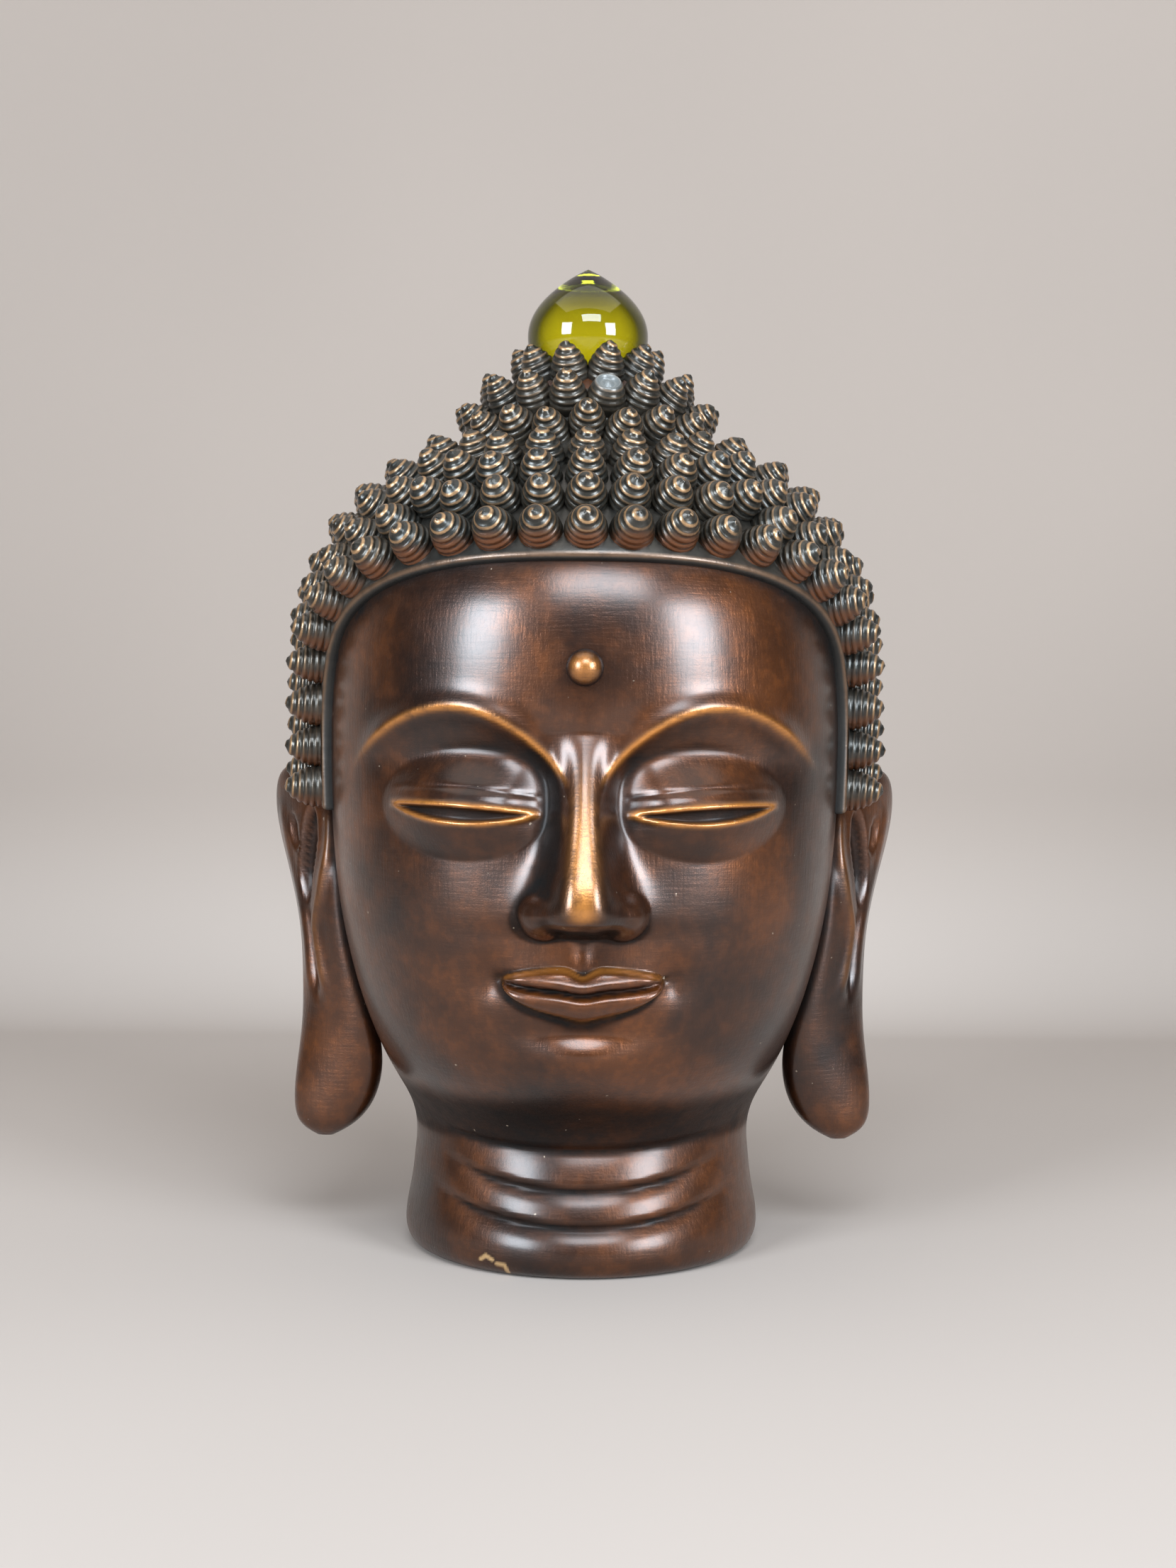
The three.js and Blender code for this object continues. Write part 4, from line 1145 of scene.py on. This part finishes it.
def hair_cap_copper(patina, brushing):
    """The smooth ground between the curls, grey-green and dull."""
    material, tree, shader = new_material("hair_cap_copper")
    inputs = {
        "Deep": (0.02, 0.021, 0.019, 1),
        "Warm": (0.06, 0.045, 0.03, 1),
        "Worn Metal": (0.3, 0.15, 0.07, 1),
        # The dark of the painted shade at the foot of the lip.
        "Shade Dark": (0.005, 0.005, 0.005, 1),
        "Worn": attribute(tree, "worn"),
        "Shade And Hollow": attribute(tree, "shade_and_hollow"),
        "Warmth": 0.35,
    }
    coat = use_group(tree, patina, inputs)
    tree.links.new(coat.outputs["Colour"], shader.inputs["Base Color"])
    tree.links.new(coat.outputs["Roughness"], shader.inputs["Roughness"])
    set_shader(shader, Metallic=0.5, Coat_Weight=0.5, Coat_Roughness=0.3)
    brushed_bump(tree, shader, brushing, 0.35)
    return material


def curl_copper(patina, brushing):
    """Dark grey-green curls with rubbed ridges and tips, painted shade in the grooves, and coppery undersides
    by the edge of the hair.
    """
    material, tree, shader = new_material("curl_copper")
    ridge = attribute(tree, "ridge")
    tip = attribute(tree, "tip")
    crest = span(tree, ridge, 0.82, 1.0)
    rubbed = math_node(tree, "MULTIPLY", crest, span(tree, tip, 0.25, 0.95, 0.06, 0.95))
    # Painted shade in the grooves between the turns of the ridge.
    groove = span(tree, ridge, 0.06, 0.42, 1.0, 0.0)
    inputs = {
        "Deep": (0.021, 0.024, 0.022, 1),
        "Warm": (0.055, 0.042, 0.028, 1),
        "Worn Metal": (0.44, 0.255, 0.12, 1),
        # The dark of the painted shade in the grooves.
        "Shade Dark": (0.006, 0.006, 0.006, 1),
        "Worn": rubbed,
        "Shade And Hollow": groove,
        "Warmth": 0.5,
    }
    coat = use_group(tree, patina, inputs)
    under = math_node(tree, "MULTIPLY", attribute(tree, "under"), span(tree, ridge, 0.1, 0.6), True)
    colour = mix_colour(tree, under, coat.outputs["Colour"], UNDER_COLOUR)
    bare = attribute(tree, "bare")
    colour = mix_colour(tree, bare, colour, BROKEN_COLOUR)
    tree.links.new(colour, shader.inputs["Base Color"])
    tree.links.new(coat.outputs["Roughness"], shader.inputs["Roughness"])
    tree.links.new(span(tree, bare, 0.0, 1.0, 0.6, 0.0), shader.inputs["Metallic"])
    set_shader(shader, Coat_Weight=0.45, Coat_Roughness=0.25)
    brushed_bump(tree, shader, brushing, 0.3)
    return material


def jewel_glass():
    """Clear yellow-green glass, with painted shade in olive towards its point and round its outline."""
    material, tree, shader = new_material("jewel_glass")
    # Painted shade: darker where the glass turns away from the view, and towards its point.
    facing = add(tree, "ShaderNodeLayerWeight", {"Blend": 0.5}).outputs["Facing"]
    edge = span(tree, facing, 0.06, 0.5)
    dark = math_node(tree, "MAXIMUM", edge, attribute(tree, "high"))
    colour = mix_colour(tree, dark, LEMON, SHADE_OLIVE)
    tree.links.new(colour, shader.inputs["Base Color"])
    set_shader(shader, Roughness=0.03, IOR=1.5, Transmission_Weight=1.0)
    return material


def backdrop_paint():
    """Pale warm grey, painted darker on the wall as painted shade, and clear from behind."""
    material, tree, shader = new_material("backdrop_paint")
    ground = mix_colour(tree, attribute(tree, "wall"), FLOOR_COLOUR, SHADED_WALL_COLOUR)
    cloud = span(tree, noise(tree, 1.6, 2.0), 0.3, 0.7, 0.96, 1.04)
    colour = add(tree, "ShaderNodeHueSaturation", {"Value": cloud, "Color": ground}).outputs[0]
    tree.links.new(colour, shader.inputs["Base Color"])
    seen_from_behind = add(tree, "ShaderNodeNewGeometry").outputs["Backfacing"]
    tree.links.new(math_node(tree, "SUBTRACT", 1.0, seen_from_behind), shader.inputs["Alpha"])
    set_shader(shader, Roughness=0.9, Specular_IOR_Level=0.2)
    return material


# Stage, lights and camera, in metres and watts
FLOOR_FRONT = -3.0
SWEEP_START = 0.44
SWEEP_RADIUS = 0.14
WALL_TOP = 3.5
STAGE_HALF_WIDTH = 4.0
LIT_POINT = (0, 0, 0.18)
COOL_WHITE = (0.82, 0.91, 1.0)
WARM_WHITE = (1.0, 0.97, 0.93)
LIGHTS = (
    ("left_softbox", (-1.05, -1.2, 0.6), (0.55, 0.75), 32, COOL_WHITE),
    ("right_softbox", (1.1, -1.15, 0.58), (0.55, 0.75), 32, COOL_WHITE),
    ("front_softbox", (0.16, -1.25, 1.2), (0.9, 0.5), 22, COOL_WHITE),
    ("overhead", (0, -0.1, 1.9), (2.4, 1.6), 15, WARM_WHITE),
)
ROOM_COLOUR = (0.9, 0.92, 0.95, 1)
ROOM_LIGHT = 0.1
CAMERA_PLACE = (0.001, -0.78, 0.2)
CAMERA_DOWN = math.radians(2.6)
CAMERA_ROLL = math.radians(-0.45)
LENS_MM = 49.5
SENSOR_MM = 36


def build_backdrop():
    """A floor that sweeps up into a wall behind the head."""
    bend = np.linspace(0, math.pi / 2, 24)
    sweep = [(SWEEP_START + SWEEP_RADIUS * math.sin(a), SWEEP_RADIUS * (1 - math.cos(a))) for a in bend]
    line = [(FLOOR_FRONT, 0), *sweep, (SWEEP_START + SWEEP_RADIUS, WALL_TOP)]
    points = [(x * STAGE_HALF_WIDTH / MM, y / MM, z / MM) for y, z in line for x in (-1, 1)]
    faces = [(2 * k, 2 * k + 1, 2 * k + 3, 2 * k + 2) for k in range(len(line) - 1)]
    wall = np.repeat([smooth(0, SWEEP_RADIUS, z) for _, z in line], 2)
    return make_mesh("backdrop", points, faces, {"wall": wall})


def add_light(name, place, size, power, colour):
    """A rectangular softbox that looks at the middle of the head."""
    data = bpy.data.lights.new(name, "AREA")
    data.shape = "RECTANGLE"
    data.size, data.size_y = size
    data.energy = power
    data.color = colour
    light = bpy.data.objects.new(name, data)
    light.location = place
    aim = np.array(LIT_POINT) - np.array(place)
    light.rotation_mode = "QUATERNION"
    light.rotation_quaternion = Vector(aim).to_track_quat("-Z", "Y")
    bpy.context.scene.collection.objects.link(light)


def add_lights():
    for softbox in LIGHTS:
        add_light(*softbox)
    world = bpy.data.worlds.new("studio")
    world.use_nodes = True
    background = world.node_tree.nodes["Background"]
    background.inputs["Color"].default_value = ROOM_COLOUR
    background.inputs["Strength"].default_value = ROOM_LIGHT
    bpy.context.scene.world = world


def set_view():
    view = bpy.context.scene.view_settings
    view.view_transform = "Standard"
    view.look = "None"


def add_camera():
    data = bpy.data.cameras.new("camera")
    data.lens = LENS_MM
    data.sensor_width = SENSOR_MM
    camera = bpy.data.objects.new("camera", data)
    camera.location = CAMERA_PLACE
    camera.rotation_euler = (math.pi / 2 - CAMERA_DOWN, CAMERA_ROLL, 0)
    bpy.context.scene.collection.objects.link(camera)
    bpy.context.scene.camera = camera


def wear(piece, material, replaced):
    """Gives a piece its material, the body it rides on and the solid it replaces."""
    piece.data.materials.append(material)
    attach(piece, "root")
    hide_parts(replaced)


def build():
    patina = patina_group()
    brushing = brushing_group()
    skin_metal = copper_skin(patina, brushing)
    cap_metal = hair_cap_copper(patina, brushing)
    curl_metal = curl_copper(patina, brushing)
    wear(build_skin(), skin_metal, "head")
    wear(build_cap(), cap_metal, "head")
    wear(build_ear("ear_right", 1), skin_metal, "head")
    wear(build_ear("ear_left", -1), skin_metal, "head")
    wear(build_bead(), skin_metal, "head")
    for piece in build_all_curls():
        wear(piece, curl_metal, "head")
    wear(build_jewel(), jewel_glass(), "jewel")
    backdrop = build_backdrop()
    backdrop.data.materials.append(backdrop_paint())
    add_lights()
    add_camera()
    set_view()


build()
